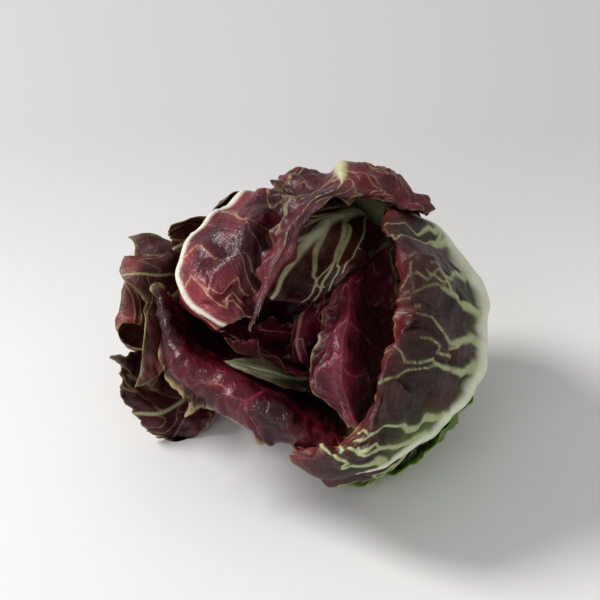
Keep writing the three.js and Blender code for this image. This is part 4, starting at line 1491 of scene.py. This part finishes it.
LEAVES = (
    LeafPlan(
        "heart_leaf_right", turn=140, spread=34, height=-19, radius=5.4,
        stations=(
            ((13, 26, 38), (12, 28, 40), (11, 30, 42), (12, 32, 45), (13, 34, 47)),
            ((6, 11, 43), (2, 13, 44), (0, 16, 48), (2, 19, 51), (5, 21, 54)),
            ((2, -2, 48), (-3, -1, 51), (-5, 1, 55), (-4, 5, 59), (1, 7, 61)),
            ((0, -8, 52), (-4, -9, 56), (-5, -8, 61), (-4, -5, 63), (-1, 0, 63)),
        ),
        veins=VeinHabit(rib=2, rib_foot=3.0, pairs=4, forks=2, seed=301),
        relief=Relief(frill=1.0, blister=0.7, seed=301),
        finish=HEART,
        slot="heart_leaf",
        rows=110,
        columns=100,
    ),
    LeafPlan(
        "heart_leaf_front", turn=-50, spread=34, height=-19, radius=5.4,
        stations=(
            ((25, 26, 47), (24, 27, 53), (25, 29, 57), (30, 31, 58), (35, 33, 56)),
            ((10, 9, 51), (8, 9, 59), (10, 10, 65), (15, 11, 67), (22, 14, 63)),
            ((-1, -2, 51), (-1, -4, 60), (3, -4, 66), (8, -4, 66), (15, -1, 61)),
            ((-6, -11, 49), (-4, -14, 57), (0, -15, 62), (5, -14, 61), (9, -11, 54)),
            ((-4, -16, 44), (-2, -18, 49), (1, -19, 52), (4, -19, 50), (7, -15, 45)),
        ),
        veins=VeinHabit(rib=2, rib_foot=3.0, pairs=4, forks=2, seed=302),
        relief=Relief(frill=1.0, blister=0.7, seed=302),
        finish=HEART,
        slot="heart_leaf",
        rows=120,
        columns=100,
    ),
    LeafPlan(
        "heart_leaf_left", turn=150, spread=36, height=-13, radius=7.4,
        stations=(
            ((20, 11, 48), (15, 18, 42), (10, 24, 38), (4, 30, 37), (-2, 35, 39)),
            ((7, -24, 53), (1, -14, 49), (-7, -4, 46), (-15, 9, 44), (-22, 20, 43)),
            ((-3, -29, 60), (-10, -20, 55), (-18, -9, 52), (-27, 3, 49), (-34, 15, 50)),
            ((-13, -27, 67), (-19, -19, 61), (-27, -10, 57), (-35, 0, 55), (-42, 12, 55)),
            ((-20, -23, 74), (-25, -18, 67), (-32, -11, 62), (-40, -1, 60), (-46, 10, 61)),
        ),
        veins=VeinHabit(rib=2, pairs=5, forks=2, seed=303),
        relief=Relief(frill=1.6, seed=303),
        finish=HEART,
        slot="heart_leaf",
        rows=150,
        columns=130,
    ),
    LeafPlan(
        "pale_inner_leaf", turn=88, spread=-36, height=-13, radius=7.4,
        stations=(
            ((15, 36, 34), (18, 32, 31), (21, 28, 30), (25, 23, 31), (28, 18, 31)),
            ((3, 13, 34), (5, 6, 34), (8, -1, 35), (12, -8, 36), (15, -15, 36)),
            ((-7, -2, 41), (-5, -9, 43), (-3, -17, 44), (-1, -23, 45), (2, -28, 45)),
            ((-17, -6, 46), (-16, -12, 47), (-15, -19, 48), (-14, -25, 49), (-12, -30, 49)),
            ((-27, -9, 49), (-27, -13, 49), (-27, -17, 50), (-26, -21, 51), (-25, -24, 51)),
            ((-34, -14, 49), (-34, -15, 49), (-33, -17, 50), (-33, -19, 50), (-32, -20, 50)),
        ),
        veins=VeinHabit(rib=2, rib_foot=6.0, pairs=5, seed=304),
        relief=Relief(frill=1.0, blister=0.6, seed=304),
        finish=PALE,
        slot="pale_leaf",
        rows=150,
        columns=110,
    ),
    LeafPlan(
        "inner_right_leaf", turn=-25, spread=36, height=-13, radius=7.4,
        stations=(
            ((36, 33, 64), (38, 35, 64), (39, 36, 64), (41, 38, 63), (43, 40, 62), (45, 42, 61),
             (46, 43, 60)),
            ((20, 19, 73), (22, 18, 77), (25, 18, 79), (28, 21, 77), (32, 27, 76), (37, 33, 76),
             (42, 38, 75)),
            ((13, 4, 76), (17, 1, 82), (21, 0, 84), (25, 3, 82), (29, 13, 72), (36, 21, 69),
             (43, 27, 69)),
            ((10, -9, 75), (15, -12, 81), (20, -14, 84), (26, -10, 80), (29, 2, 68), (37, 12, 61),
             (44, 17, 61)),
            ((7, -21, 72), (13, -24, 77), (20, -26, 80), (26, -22, 75), (30, -10, 63), (37, -3, 57),
             (43, 2, 56)),
            ((3, -32, 67), (11, -35, 72), (19, -37, 74), (26, -33, 70), (30, -22, 58),
             (35, -16, 52), (41, -12, 51)),
            ((5, -41, 62), (12, -44, 66), (19, -46, 68), (26, -42, 63), (29, -33, 54),
             (33, -28, 47), (38, -25, 46)),
            ((12, -50, 58), (16, -52, 60), (21, -52, 61), (25, -50, 58), (28, -43, 50),
             (31, -38, 43), (34, -36, 42)),
            ((20, -58, 50), (22, -59, 51), (23, -59, 51), (24, -59, 50), (25, -57, 48),
             (27, -54, 45), (28, -52, 43)),
        ),
        veins=VeinHabit(rib=2, rib_foot=1.4, rib_tip=0.5, pairs=6, rise=0.12, width=0.8,
                        seed=305),
        relief=Relief(frill=1.2, blister=1.1, crumple=0.5, seed=305),
        finish=SHEEN,
        slot="inner_leaf",
        rows=190,
        columns=170,
    ),
    LeafPlan(
        "inner_back_leaf", turn=-105, spread=36, height=-13, radius=7.4,
        stations=(
            ((22, 57, 87), (26, 55, 84), (31, 52, 81), (36, 49, 76), (41, 46, 71)),
            ((8, 40, 101), (14, 40, 95), (21, 39, 90), (29, 34, 86), (37, 30, 80)),
            ((-3, 27, 102), (4, 28, 95), (12, 26, 89), (19, 21, 86), (26, 15, 86)),
            ((-10, 15, 96), (-4, 17, 89), (4, 15, 84), (12, 11, 81), (19, 7, 81)),
            ((-16, 3, 91), (-11, 4, 85), (-4, 4, 80), (3, 4, 77), (12, 3, 73)),
            ((-19, -9, 87), (-15, -6, 82), (-11, -5, 78), (-5, -4, 76), (2, -3, 74)),
        ),
        veins=VeinHabit(rib=1.6, rib_foot=6.5, rib_tip=1.4, pairs=4, first=0.12, last=0.55,
                        rise=0.5, bend=1.0, width=2.6, taper=1.2, forks=1, seed=306),
        relief=Relief(frill=1.2, seed=306),
        finish=RIBBED,
        slot="ribbed_leaf",
        rows=170,
        columns=140,
    ),
    LeafPlan(
        "left_cap_leaf", turn=-140, spread=-36, height=-8, radius=9.4,
        stations=(
            ((23, 48, 86), (17, 54, 84), (11, 59, 82), (5, 61, 78), (-1, 62, 74), (-4, 60, 69),
             (-4, 55, 64)),
            ((10, 33, 102), (2, 40, 101), (-7, 45, 100), (-15, 48, 98), (-24, 50, 93),
             (-28, 48, 85), (-29, 43, 78)),
            ((2, 21, 106), (-6, 24, 107), (-14, 27, 107), (-23, 30, 105), (-34, 35, 99),
             (-38, 37, 89), (-39, 32, 82)),
            ((-3, 14, 101), (-12, 12, 105), (-21, 11, 109), (-32, 14, 107), (-45, 21, 98),
             (-48, 23, 89), (-48, 21, 81)),
            ((-8, 6, 94), (-16, 3, 99), (-26, 0, 105), (-38, 1, 104), (-52, 8, 92), (-51, 12, 83),
             (-49, 11, 75)),
            ((-14, -2, 86), (-22, -7, 94), (-30, -11, 98), (-40, -10, 97), (-50, -4, 86),
             (-50, -1, 77), (-47, 0, 69)),
            ((-18, -12, 82), (-24, -16, 87), (-31, -19, 91), (-38, -20, 90), (-43, -15, 82),
             (-44, -12, 74), (-41, -9, 67)),
            ((-22, -21, 80), (-25, -24, 83), (-27, -26, 84), (-30, -26, 83), (-33, -24, 81),
             (-35, -21, 75), (-33, -18, 69)),
        ),
        veins=VeinHabit(rib=4, rib_foot=4.0, rib_tip=2.2, rib_start=0.3, pairs=6, rise=0.14,
                        fade=30.0, forks=2, seed=307),
        relief=Relief(frill=1.2, blister=1.2, crumple=0.5, ragged=0.008, seed=307),
        finish=CAP,
        slot="cap_leaf",
        rows=190,
        columns=160,
    ),
    LeafPlan(
        "front_fold_leaf", turn=95, spread=-36, height=-8, radius=9.4,
        stations=(
            ((-3, 50, 41), (1, 49, 35), (6, 45, 31), (12, 40, 28), (19, 33, 26), (27, 25, 26),
             (35, 18, 27), (44, 9, 27)),
            ((-35, 40, 42), (-28, 34, 32), (-21, 25, 27), (-11, 14, 27), (-1, 3, 27), (10, -8, 26),
             (22, -18, 25), (32, -26, 26)),
            ((-50, 29, 54), (-42, 21, 44), (-35, 10, 38), (-23, 0, 38), (-12, -12, 38),
             (1, -22, 37), (14, -30, 34), (25, -44, 32)),
            ((-57, 17, 69), (-52, 2, 61), (-45, -10, 55), (-34, -19, 54), (-22, -28, 52),
             (-7, -38, 50), (9, -44, 43), (20, -54, 36)),
            ((-60, 8, 79), (-56, -10, 72), (-50, -23, 67), (-38, -34, 65), (-25, -43, 63),
             (-11, -53, 59), (5, -56, 48), (18, -60, 37)),
            ((-62, 7, 77), (-58, -12, 69), (-55, -27, 62), (-45, -39, 57), (-32, -45, 57),
             (-17, -55, 52), (2, -57, 46), (15, -60, 35)),
            ((-61, 9, 72), (-59, -9, 63), (-55, -26, 54), (-47, -38, 45), (-35, -44, 47),
             (-18, -53, 41), (2, -54, 41), (12, -55, 29)),
        ),
        veins=VeinHabit(rib=4.4, rib_foot=3.0, rib_tip=0.9, rib_start=0.6, pairs=5, forks=2,
                        width=0.8, seed=308),
        relief=Relief(frill=3.4, frill_depth=7.0, rim=1.7, blister=1.1, crumple=0.4, seed=308),
        finish=SHEEN,
        slot="inner_leaf",
        rows=180,
        columns=200,
    ),
    LeafPlan(
        "back_leaf", turn=-125, spread=34, height=-4, radius=11.2,
        stations=(
            ((2, 70, 37), (4, 75, 43), (6, 78, 51), (11, 78, 61), (17, 77, 70)),
            ((-26, 69, 46), (-25, 72, 54), (-23, 72, 65), (-21, 69, 78), (-17, 63, 91)),
            ((-41, 60, 52), (-43, 61, 60), (-43, 59, 70), (-41, 55, 82), (-35, 50, 93)),
            ((-52, 50, 57), (-55, 49, 64), (-55, 48, 72), (-54, 42, 80), (-48, 40, 90)),
            ((-60, 42, 64), (-62, 41, 69), (-63, 39, 74), (-61, 38, 80), (-58, 34, 85)),
        ),
        veins=VeinHabit(rib=2, pairs=6, forks=2, seed=309),
        relief=Relief(frill=1.4, blister=0.4, seed=309),
        finish=OUTER,
        slot="outer_leaf",
        rows=150,
        columns=110,
    ),
    LeafPlan(
        "right_wrapper_leaf", turn=0, spread=36, height=-4, radius=11.2,
        stations=(
            ((37, 50, 82), (40, 51, 81), (45, 51, 79), (51, 53, 72), (56, 54, 62), (58, 56, 52),
             (58, 57, 43), (55, 55, 37)),
            ((41, 21, 109), (44, 19, 110), (49, 21, 107), (56, 30, 95), (63, 41, 77), (65, 47, 63),
             (62, 50, 50), (57, 51, 39)),
            ((34, 14, 107), (38, 6, 110), (47, 7, 107), (60, 17, 94), (71, 27, 73), (73, 34, 57),
             (69, 38, 42), (62, 40, 30)),
            ((39, 5, 103), (47, -7, 109), (56, -7, 106), (68, 1, 91), (78, 10, 69), (79, 17, 52),
             (75, 21, 37), (65, 24, 25)),
            ((40, -4, 96), (49, -16, 106), (58, -18, 100), (71, -13, 85), (81, -4, 61), (80, 3, 44),
             (74, 8, 30), (64, 11, 19)),
            ((40, -16, 90), (47, -28, 99), (57, -30, 93), (68, -26, 77), (79, -16, 53),
             (76, -10, 37), (69, -5, 24), (58, -2, 15)),
            ((38, -28, 84), (45, -39, 93), (52, -44, 85), (64, -40, 68), (73, -27, 46),
             (69, -23, 31), (61, -18, 20), (50, -15, 12)),
            ((35, -44, 76), (38, -53, 83), (45, -57, 75), (55, -52, 61), (65, -40, 42),
             (59, -33, 28), (52, -30, 18), (40, -26, 11)),
            ((30, -55, 66), (33, -65, 73), (38, -69, 67), (46, -64, 55), (53, -51, 39),
             (48, -44, 26), (40, -41, 17), (30, -37, 11)),
            ((21, -64, 54), (25, -75, 59), (27, -76, 56), (31, -75, 52), (35, -70, 44),
             (35, -63, 31), (31, -55, 20), (22, -46, 11)),
            ((12, -66, 49), (12, -76, 53), (15, -78, 50), (18, -77, 45), (21, -73, 38),
             (22, -66, 27), (19, -58, 19), (11, -47, 12)),
            ((1, -63, 45), (1, -73, 46), (2, -74, 44), (3, -73, 41), (5, -70, 36), (7, -65, 29),
             (5, -55, 22), (2, -46, 18)),
            ((-2, -59, 44), (-3, -65, 46), (-4, -66, 44), (-4, -65, 41), (-4, -63, 37),
             (-2, -59, 33), (-2, -53, 28), (-2, -45, 25)),
        ),
        veins=VeinHabit(rib=4, rib_foot=17.0, rib_tip=1.6, rib_end=0.74, least=1.25,
                        fade=42.0, pairs=10, first=0.06, last=0.8, rise=0.12, bend=1.2,
                        wander=0.016, width=6.2, taper=2.6, forks=1, seed=310),
        relief=Relief(frill=1.6, blister=2.6, blister_width=4.5, crumple=1.0, seed=310),
        finish=WRAPPER,
        slot="wrapper_leaf",
        rows=230,
        columns=190,
    ),
    LeafPlan(
        "hood_leaf", turn=-75, spread=36, height=0, radius=12.8,
        stations=(
            ((5, 66, 73), (12, 70, 76), (20, 72, 78), (29, 72, 78), (38, 70, 75), (47, 66, 72),
             (54, 61, 68)),
            ((-8, 53, 101), (0, 54, 105), (10, 50, 104), (19, 51, 108), (30, 51, 108),
             (42, 50, 104), (55, 45, 92)),
            ((-10, 32, 109), (-3, 32, 114), (6, 29, 114), (18, 34, 117), (31, 32, 117),
             (45, 31, 112), (59, 28, 101)),
            ((-12, 19, 112), (-5, 19, 116), (4, 18, 118), (14, 21, 121), (25, 22, 120),
             (36, 23, 116), (44, 22, 109)),
            ((-8, 10, 110), (-4, 9, 114), (1, 9, 117), (7, 12, 120), (14, 14, 121), (21, 16, 121),
             (27, 17, 117)),
            ((-13, 1, 104), (-10, -1, 108), (-6, -1, 113), (-2, 1, 116), (3, 5, 118), (8, 9, 120),
             (14, 12, 121)),
            ((-17, -10, 98), (-15, -12, 103), (-11, -12, 106), (-8, -10, 109), (-4, -6, 111),
             (1, -2, 114), (5, 3, 116)),
            ((-20, -21, 91), (-18, -23, 95), (-15, -22, 98), (-13, -21, 101), (-10, -18, 104),
             (-6, -14, 106), (-2, -8, 108)),
            ((-23, -32, 83), (-22, -33, 86), (-21, -33, 88), (-19, -31, 89), (-17, -29, 92),
             (-15, -25, 93), (-12, -21, 96)),
        ),
        veins=VeinHabit(rib=3, rib_foot=8.0, rib_end=0.42, pairs=6, last=0.5, rise=0.2,
                        fade=34.0, forks=2, seed=311),
        relief=Relief(frill=3.4, pucker=0.6, crumple=0.8, rim=1.0, seed=311),
        finish=OUTER,
        slot="outer_leaf",
        rows=200,
        columns=170,
    ),
    LeafPlan(
        "left_ruffle_leaf", turn=150, spread=-36, height=-4, radius=11.2,
        stations=(
            ((2, 55, 47), (-1, 55, 42), (-3, 54, 38), (-4, 51, 34), (-4, 46, 29), (-2, 38, 25),
             (2, 27, 22)),
            ((-23, 51, 58), (-29, 50, 54), (-35, 47, 49), (-40, 41, 45), (-41, 32, 39),
             (-41, 20, 33), (-39, 6, 27)),
            ((-37, 41, 72), (-42, 37, 71), (-47, 31, 70), (-50, 26, 67), (-52, 19, 60),
             (-52, 5, 52), (-50, -9, 45)),
            ((-49, 37, 78), (-53, 30, 78), (-57, 22, 80), (-60, 15, 78), (-59, 10, 70),
             (-59, -3, 62), (-60, -20, 52)),
            ((-62, 37, 80), (-63, 28, 81), (-68, 20, 82), (-69, 13, 80), (-62, 5, 72),
             (-64, -10, 63), (-66, -28, 50)),
            ((-73, 38, 80), (-69, 28, 80), (-77, 20, 81), (-76, 13, 78), (-65, 2, 72),
             (-69, -15, 62), (-72, -30, 49)),
        ),
        veins=VeinHabit(rib=3, rib_foot=3.0, rib_tip=0.6, pairs=4, forks=2, width=0.7,
                        seed=312),
        relief=Relief(frill=1.8, blister=1.1, ragged=0.012, seed=312),
        finish=BROWN,
        slot="brown_leaf",
        rows=160,
        columns=190,
    ),
    LeafPlan(
        "left_curl_leaf", turn=185, spread=34, height=0, radius=12.8,
        stations=(
            ((-15, 47, 25), (-18, 53, 27), (-21, 59, 30), (-22, 62, 37), (-23, 62, 45),
             (-23, 61, 54), (-22, 59, 63)),
            ((-42, 30, 30), (-45, 36, 30), (-48, 42, 34), (-50, 46, 42), (-51, 50, 53),
             (-48, 52, 59), (-45, 54, 63)),
            ((-59, 18, 41), (-65, 17, 38), (-73, 15, 39), (-78, 18, 45), (-79, 24, 56),
             (-74, 32, 60), (-66, 38, 57)),
            ((-62, 6, 47), (-66, 4, 45), (-73, 1, 46), (-78, 4, 48), (-79, 9, 53), (-75, 14, 56),
             (-69, 18, 53)),
            ((-65, -3, 53), (-68, -6, 53), (-74, -8, 53), (-78, -5, 55), (-79, 0, 56), (-76, 4, 56),
             (-71, 7, 53)),
        ),
        veins=VeinHabit(rib=3, rib_foot=2.5, rib_tip=0.6, pairs=4, forks=2, width=0.7,
                        seed=313),
        relief=Relief(frill=0.8, blister=0.8, ragged=0.01, seed=313),
        finish=BROWN,
        slot="brown_leaf",
        rows=180,
        columns=150,
    ),
    LeafPlan(
        "left_floor_leaf", turn=115, spread=34, height=0, radius=12.8,
        stations=(
            ((23, 25, 11), (16, 38, 7), (7, 50, 8), (-2, 59, 15), (-8, 64, 28)),
            ((-4, 12, 6), (-12, 26, 0), (-20, 37, 1), (-28, 47, 10), (-34, 54, 25)),
            ((-27, 3, 7), (-35, 13, 2), (-42, 22, 4), (-50, 30, 14), (-56, 37, 30)),
            ((-39, -4, 4), (-48, 1, 3), (-56, 5, 8), (-64, 12, 19), (-70, 16, 36)),
            ((-52, -9, -1), (-59, -7, 0), (-66, -4, 12), (-72, 0, 24), (-77, 6, 40)),
            ((-64, -8, 1), (-69, -8, 5), (-74, -8, 16), (-78, -4, 28), (-82, 1, 44)),
        ),
        veins=VeinHabit(rib=2, pairs=7, forks=2, seed=314),
        relief=Relief(frill=1.8, blister=1.0, crumple=0.9, seed=314),
        finish=OUTER,
        slot="outer_leaf",
        rows=190,
        columns=130,
    ),
    LeafPlan(
        "under_leaf", turn=40, spread=34, height=1, radius=13.2,
        stations=(
            ((72, 41, 47), (71, 44, 31), (64, 44, 17), (52, 41, 5), (39, 39, 1)),
            ((82, 12, 43), (79, 16, 25), (68, 18, 9), (53, 17, 0), (38, 13, 0)),
            ((81, -12, 39), (74, -9, 21), (62, -6, 6), (45, -2, -1), (29, -4, -1)),
            ((72, -28, 33), (64, -24, 19), (52, -20, 6), (36, -17, 0), (20, -16, 0)),
            ((58, -43, 28), (51, -39, 17), (40, -35, 7), (27, -30, 2), (13, -28, 1)),
            ((45, -53, 22), (38, -51, 15), (30, -46, 8), (21, -42, 4), (12, -37, 2)),
        ),
        veins=VeinHabit(rib=2, rib_foot=9.0, rib_tip=2.0, pairs=7, width=2.4, seed=315),
        relief=Relief(frill=1.6, crumple=0.9, seed=315),
        finish=UNDER,
        slot="wrapper_leaf",
        rows=180,
        columns=130,
    ),
)


# ---------------------------------------------------------------------------
# Studio
# ---------------------------------------------------------------------------

@dataclass(frozen=True)
class Lamp:
    """One soft lamp.

    Attributes:
        name: What it is called.
        place: Where it stands, in metres.
        size: How wide it is, in metres.
        power: Its power, in watts.
        colour: The colour of its light.
    """

    name: str
    place: tuple[float, float, float]
    size: float
    power: float
    colour: Colour = (1.0, 1.0, 1.0)


@dataclass(frozen=True)
class Studio:
    """A pale floor, soft lamps and the camera.

    Attributes:
        elevation: How far the camera looks down, in degrees.
        lens: The camera's focal length, in millimetres.
        distance: How far the camera stands off, in metres.
        aim: What it looks at, in the stations' frame, in millimetres.
        floor_size: How wide the floor is, in metres.
        floor_colour: Colour of the floor.
        far_shade_colour: Painted shade, the colour of the floor far behind the head, darker as if
            the light fell off there.
        shade_falling_off: Where along Y the floor changes to that painted shade, in metres.
        sky: Colour of the light from all round.
        sky_strength: How strong that light is.
        lamps: The soft lamps.
    """

    elevation: float = 40.0
    lens: float = 200.0
    distance: float = 1.45
    aim: tuple[float, float, float] = (0.2, -0.2, 74.9)
    floor_size: float = 8.0
    floor_colour: Colour = paint(230, 230, 229)
    # Painted shade: the floor far behind the head is coloured darker, as if the light fell off
    # there.
    far_shade_colour: Colour = paint(196, 196, 196)
    shade_falling_off: tuple[float, float] = (-0.02, 0.26)
    sky: Colour = (1.0, 0.99, 0.98)
    sky_strength: float = 0.44
    lamps: tuple[Lamp, ...] = (
        Lamp("key", (-1.0, 0.3, 1.0), 0.5, 18.5, (1.0, 0.99, 0.97)),
        Lamp("front_fill", (-0.6, -1.2, 0.9), 1.0, 5.0, (0.97, 0.98, 1.0)),
        Lamp("right_fill", (1.2, 0.1, 0.8), 1.0, 1.0, (0.97, 0.98, 1.0)),
    )

    def build(self, shift: np.ndarray) -> None:
        """Lay the floor, and put up the sky, the lamps and the camera.

        Args:
            shift: From the stations' frame to the object's, in millimetres.
        """
        self.lay_floor()
        self.light_sky()
        centre = (np.array(self.aim) + shift) * MILLIMETRE
        for lamp in self.lamps:
            self.hang(lamp, centre)
        self.place_camera(centre)
        bpy.context.scene.view_settings.view_transform = "Standard"

    def lay_floor(self) -> None:
        """A wide flat floor with painted shade that darkens it behind the head, and a faint
        unevenness of tone.
        """
        places = np.linspace(-0.5, 0.5, 9) * self.floor_size / MILLIMETRE
        x, y = np.meshgrid(places, places, indexing="ij")
        points = np.stack([x, y, np.zeros_like(x)], axis=-1).reshape(-1, 3)
        index = np.arange(len(points)).reshape(x.shape)
        floor = make_piece("floor", points, grid_faces(index), {}, points[:, :2])
        bench = Bench("floor_finish")
        split = bench.node("SeparateXYZ", {}, {0: bench.where()})
        # Painted shade: the floor's colour darkens towards the back, as if the light fell off
        # there.
        far = bench.span(Wire(bench, split.outputs["Y"]), *self.shade_falling_off)
        tone = bench.noise(bench.where(), 3.0, 2.0) * 0.1
        floor.data.materials.append(bench.finish({
            "Base Color": bench.blend(far + tone, self.floor_colour, self.far_shade_colour),
            "Roughness": 0.75,
        }))

    def light_sky(self) -> None:
        """Even light from all round."""
        world = bpy.data.worlds.new("studio_sky")
        world.use_nodes = True
        background = world.node_tree.nodes["Background"]
        background.inputs["Color"].default_value = (*self.sky, 1.0)
        background.inputs["Strength"].default_value = self.sky_strength
        bpy.context.scene.world = world

    def hang(self, lamp: Lamp, centre: np.ndarray) -> None:
        """Hang one lamp so that it faces the head."""
        light = bpy.data.lights.new(lamp.name, "AREA")
        light.shape = "DISK"
        light.size = lamp.size
        light.energy = lamp.power
        light.color = lamp.colour
        holder = bpy.data.objects.new(lamp.name, light)
        holder.location = lamp.place
        aim = Vector(centre) - Vector(lamp.place)
        holder.rotation_euler = aim.to_track_quat("-Z", "Y").to_euler()
        bpy.context.scene.collection.objects.link(holder)

    def place_camera(self, centre: np.ndarray) -> None:
        """Stand the camera in front of the open mouth, looking down on it."""
        camera = bpy.data.cameras.new("camera")
        camera.lens = self.lens
        tilt = math.radians(self.elevation)
        back = np.array([0.0, -math.cos(tilt), math.sin(tilt)])
        holder = bpy.data.objects.new("camera", camera)
        holder.location = centre + back * self.distance
        holder.rotation_euler = (math.radians(90.0 - self.elevation), 0.0, 0.0)
        bpy.context.scene.collection.objects.link(holder)
        bpy.context.scene.camera = holder


# ---------------------------------------------------------------------------
# The whole head
# ---------------------------------------------------------------------------

def frame_shift() -> np.ndarray:
    """From the stations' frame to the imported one: between the middles of the stump.

    Returns:
        What to add to a point of the stations, in millimetres.
    """
    axis = STUMP.directions()[0]
    worn = STUMP.cut_height - STUMP.bevel
    heights = np.array([STUMP.tip_height + STUMP.bevel, worn, STUMP.cut_height])
    radii = np.array([STUMP.tip_radius, STUMP.cut_radius, STUMP.cut_radius - STUMP.bevel])
    middles = np.array(STUMP.foot) + heights[:, None] * axis
    reach = radii[:, None] * np.sqrt(1.0 - axis ** 2)
    middle = 0.5 * ((middles - reach).min(axis=0) + (middles + reach).max(axis=0))
    packed = np.array(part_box("stump")) / MILLIMETRE
    shift = packed.mean(axis=0) - middle
    shift[2] = 0.0
    return shift


def main() -> None:
    """Build the studio, the stump and the leaves, and report each of them."""
    logging.basicConfig(level=logging.INFO, format="%(name)s: %(message)s")
    shift = frame_shift()
    Studio().build(shift)
    bed = LeafBed()
    creases = Creases()
    leaves = [Leaf(plan, bed, creases) for plan in LEAVES]
    bed.settle([leaf.sheet for leaf in leaves])
    pieces = [StumpWork().build(shift)] + [leaf.build(shift) for leaf in leaves]
    for piece in pieces:
        LOG.info("%s: %d faces", piece.name, len(piece.data.polygons))


if __name__ == "__main__":
    main()
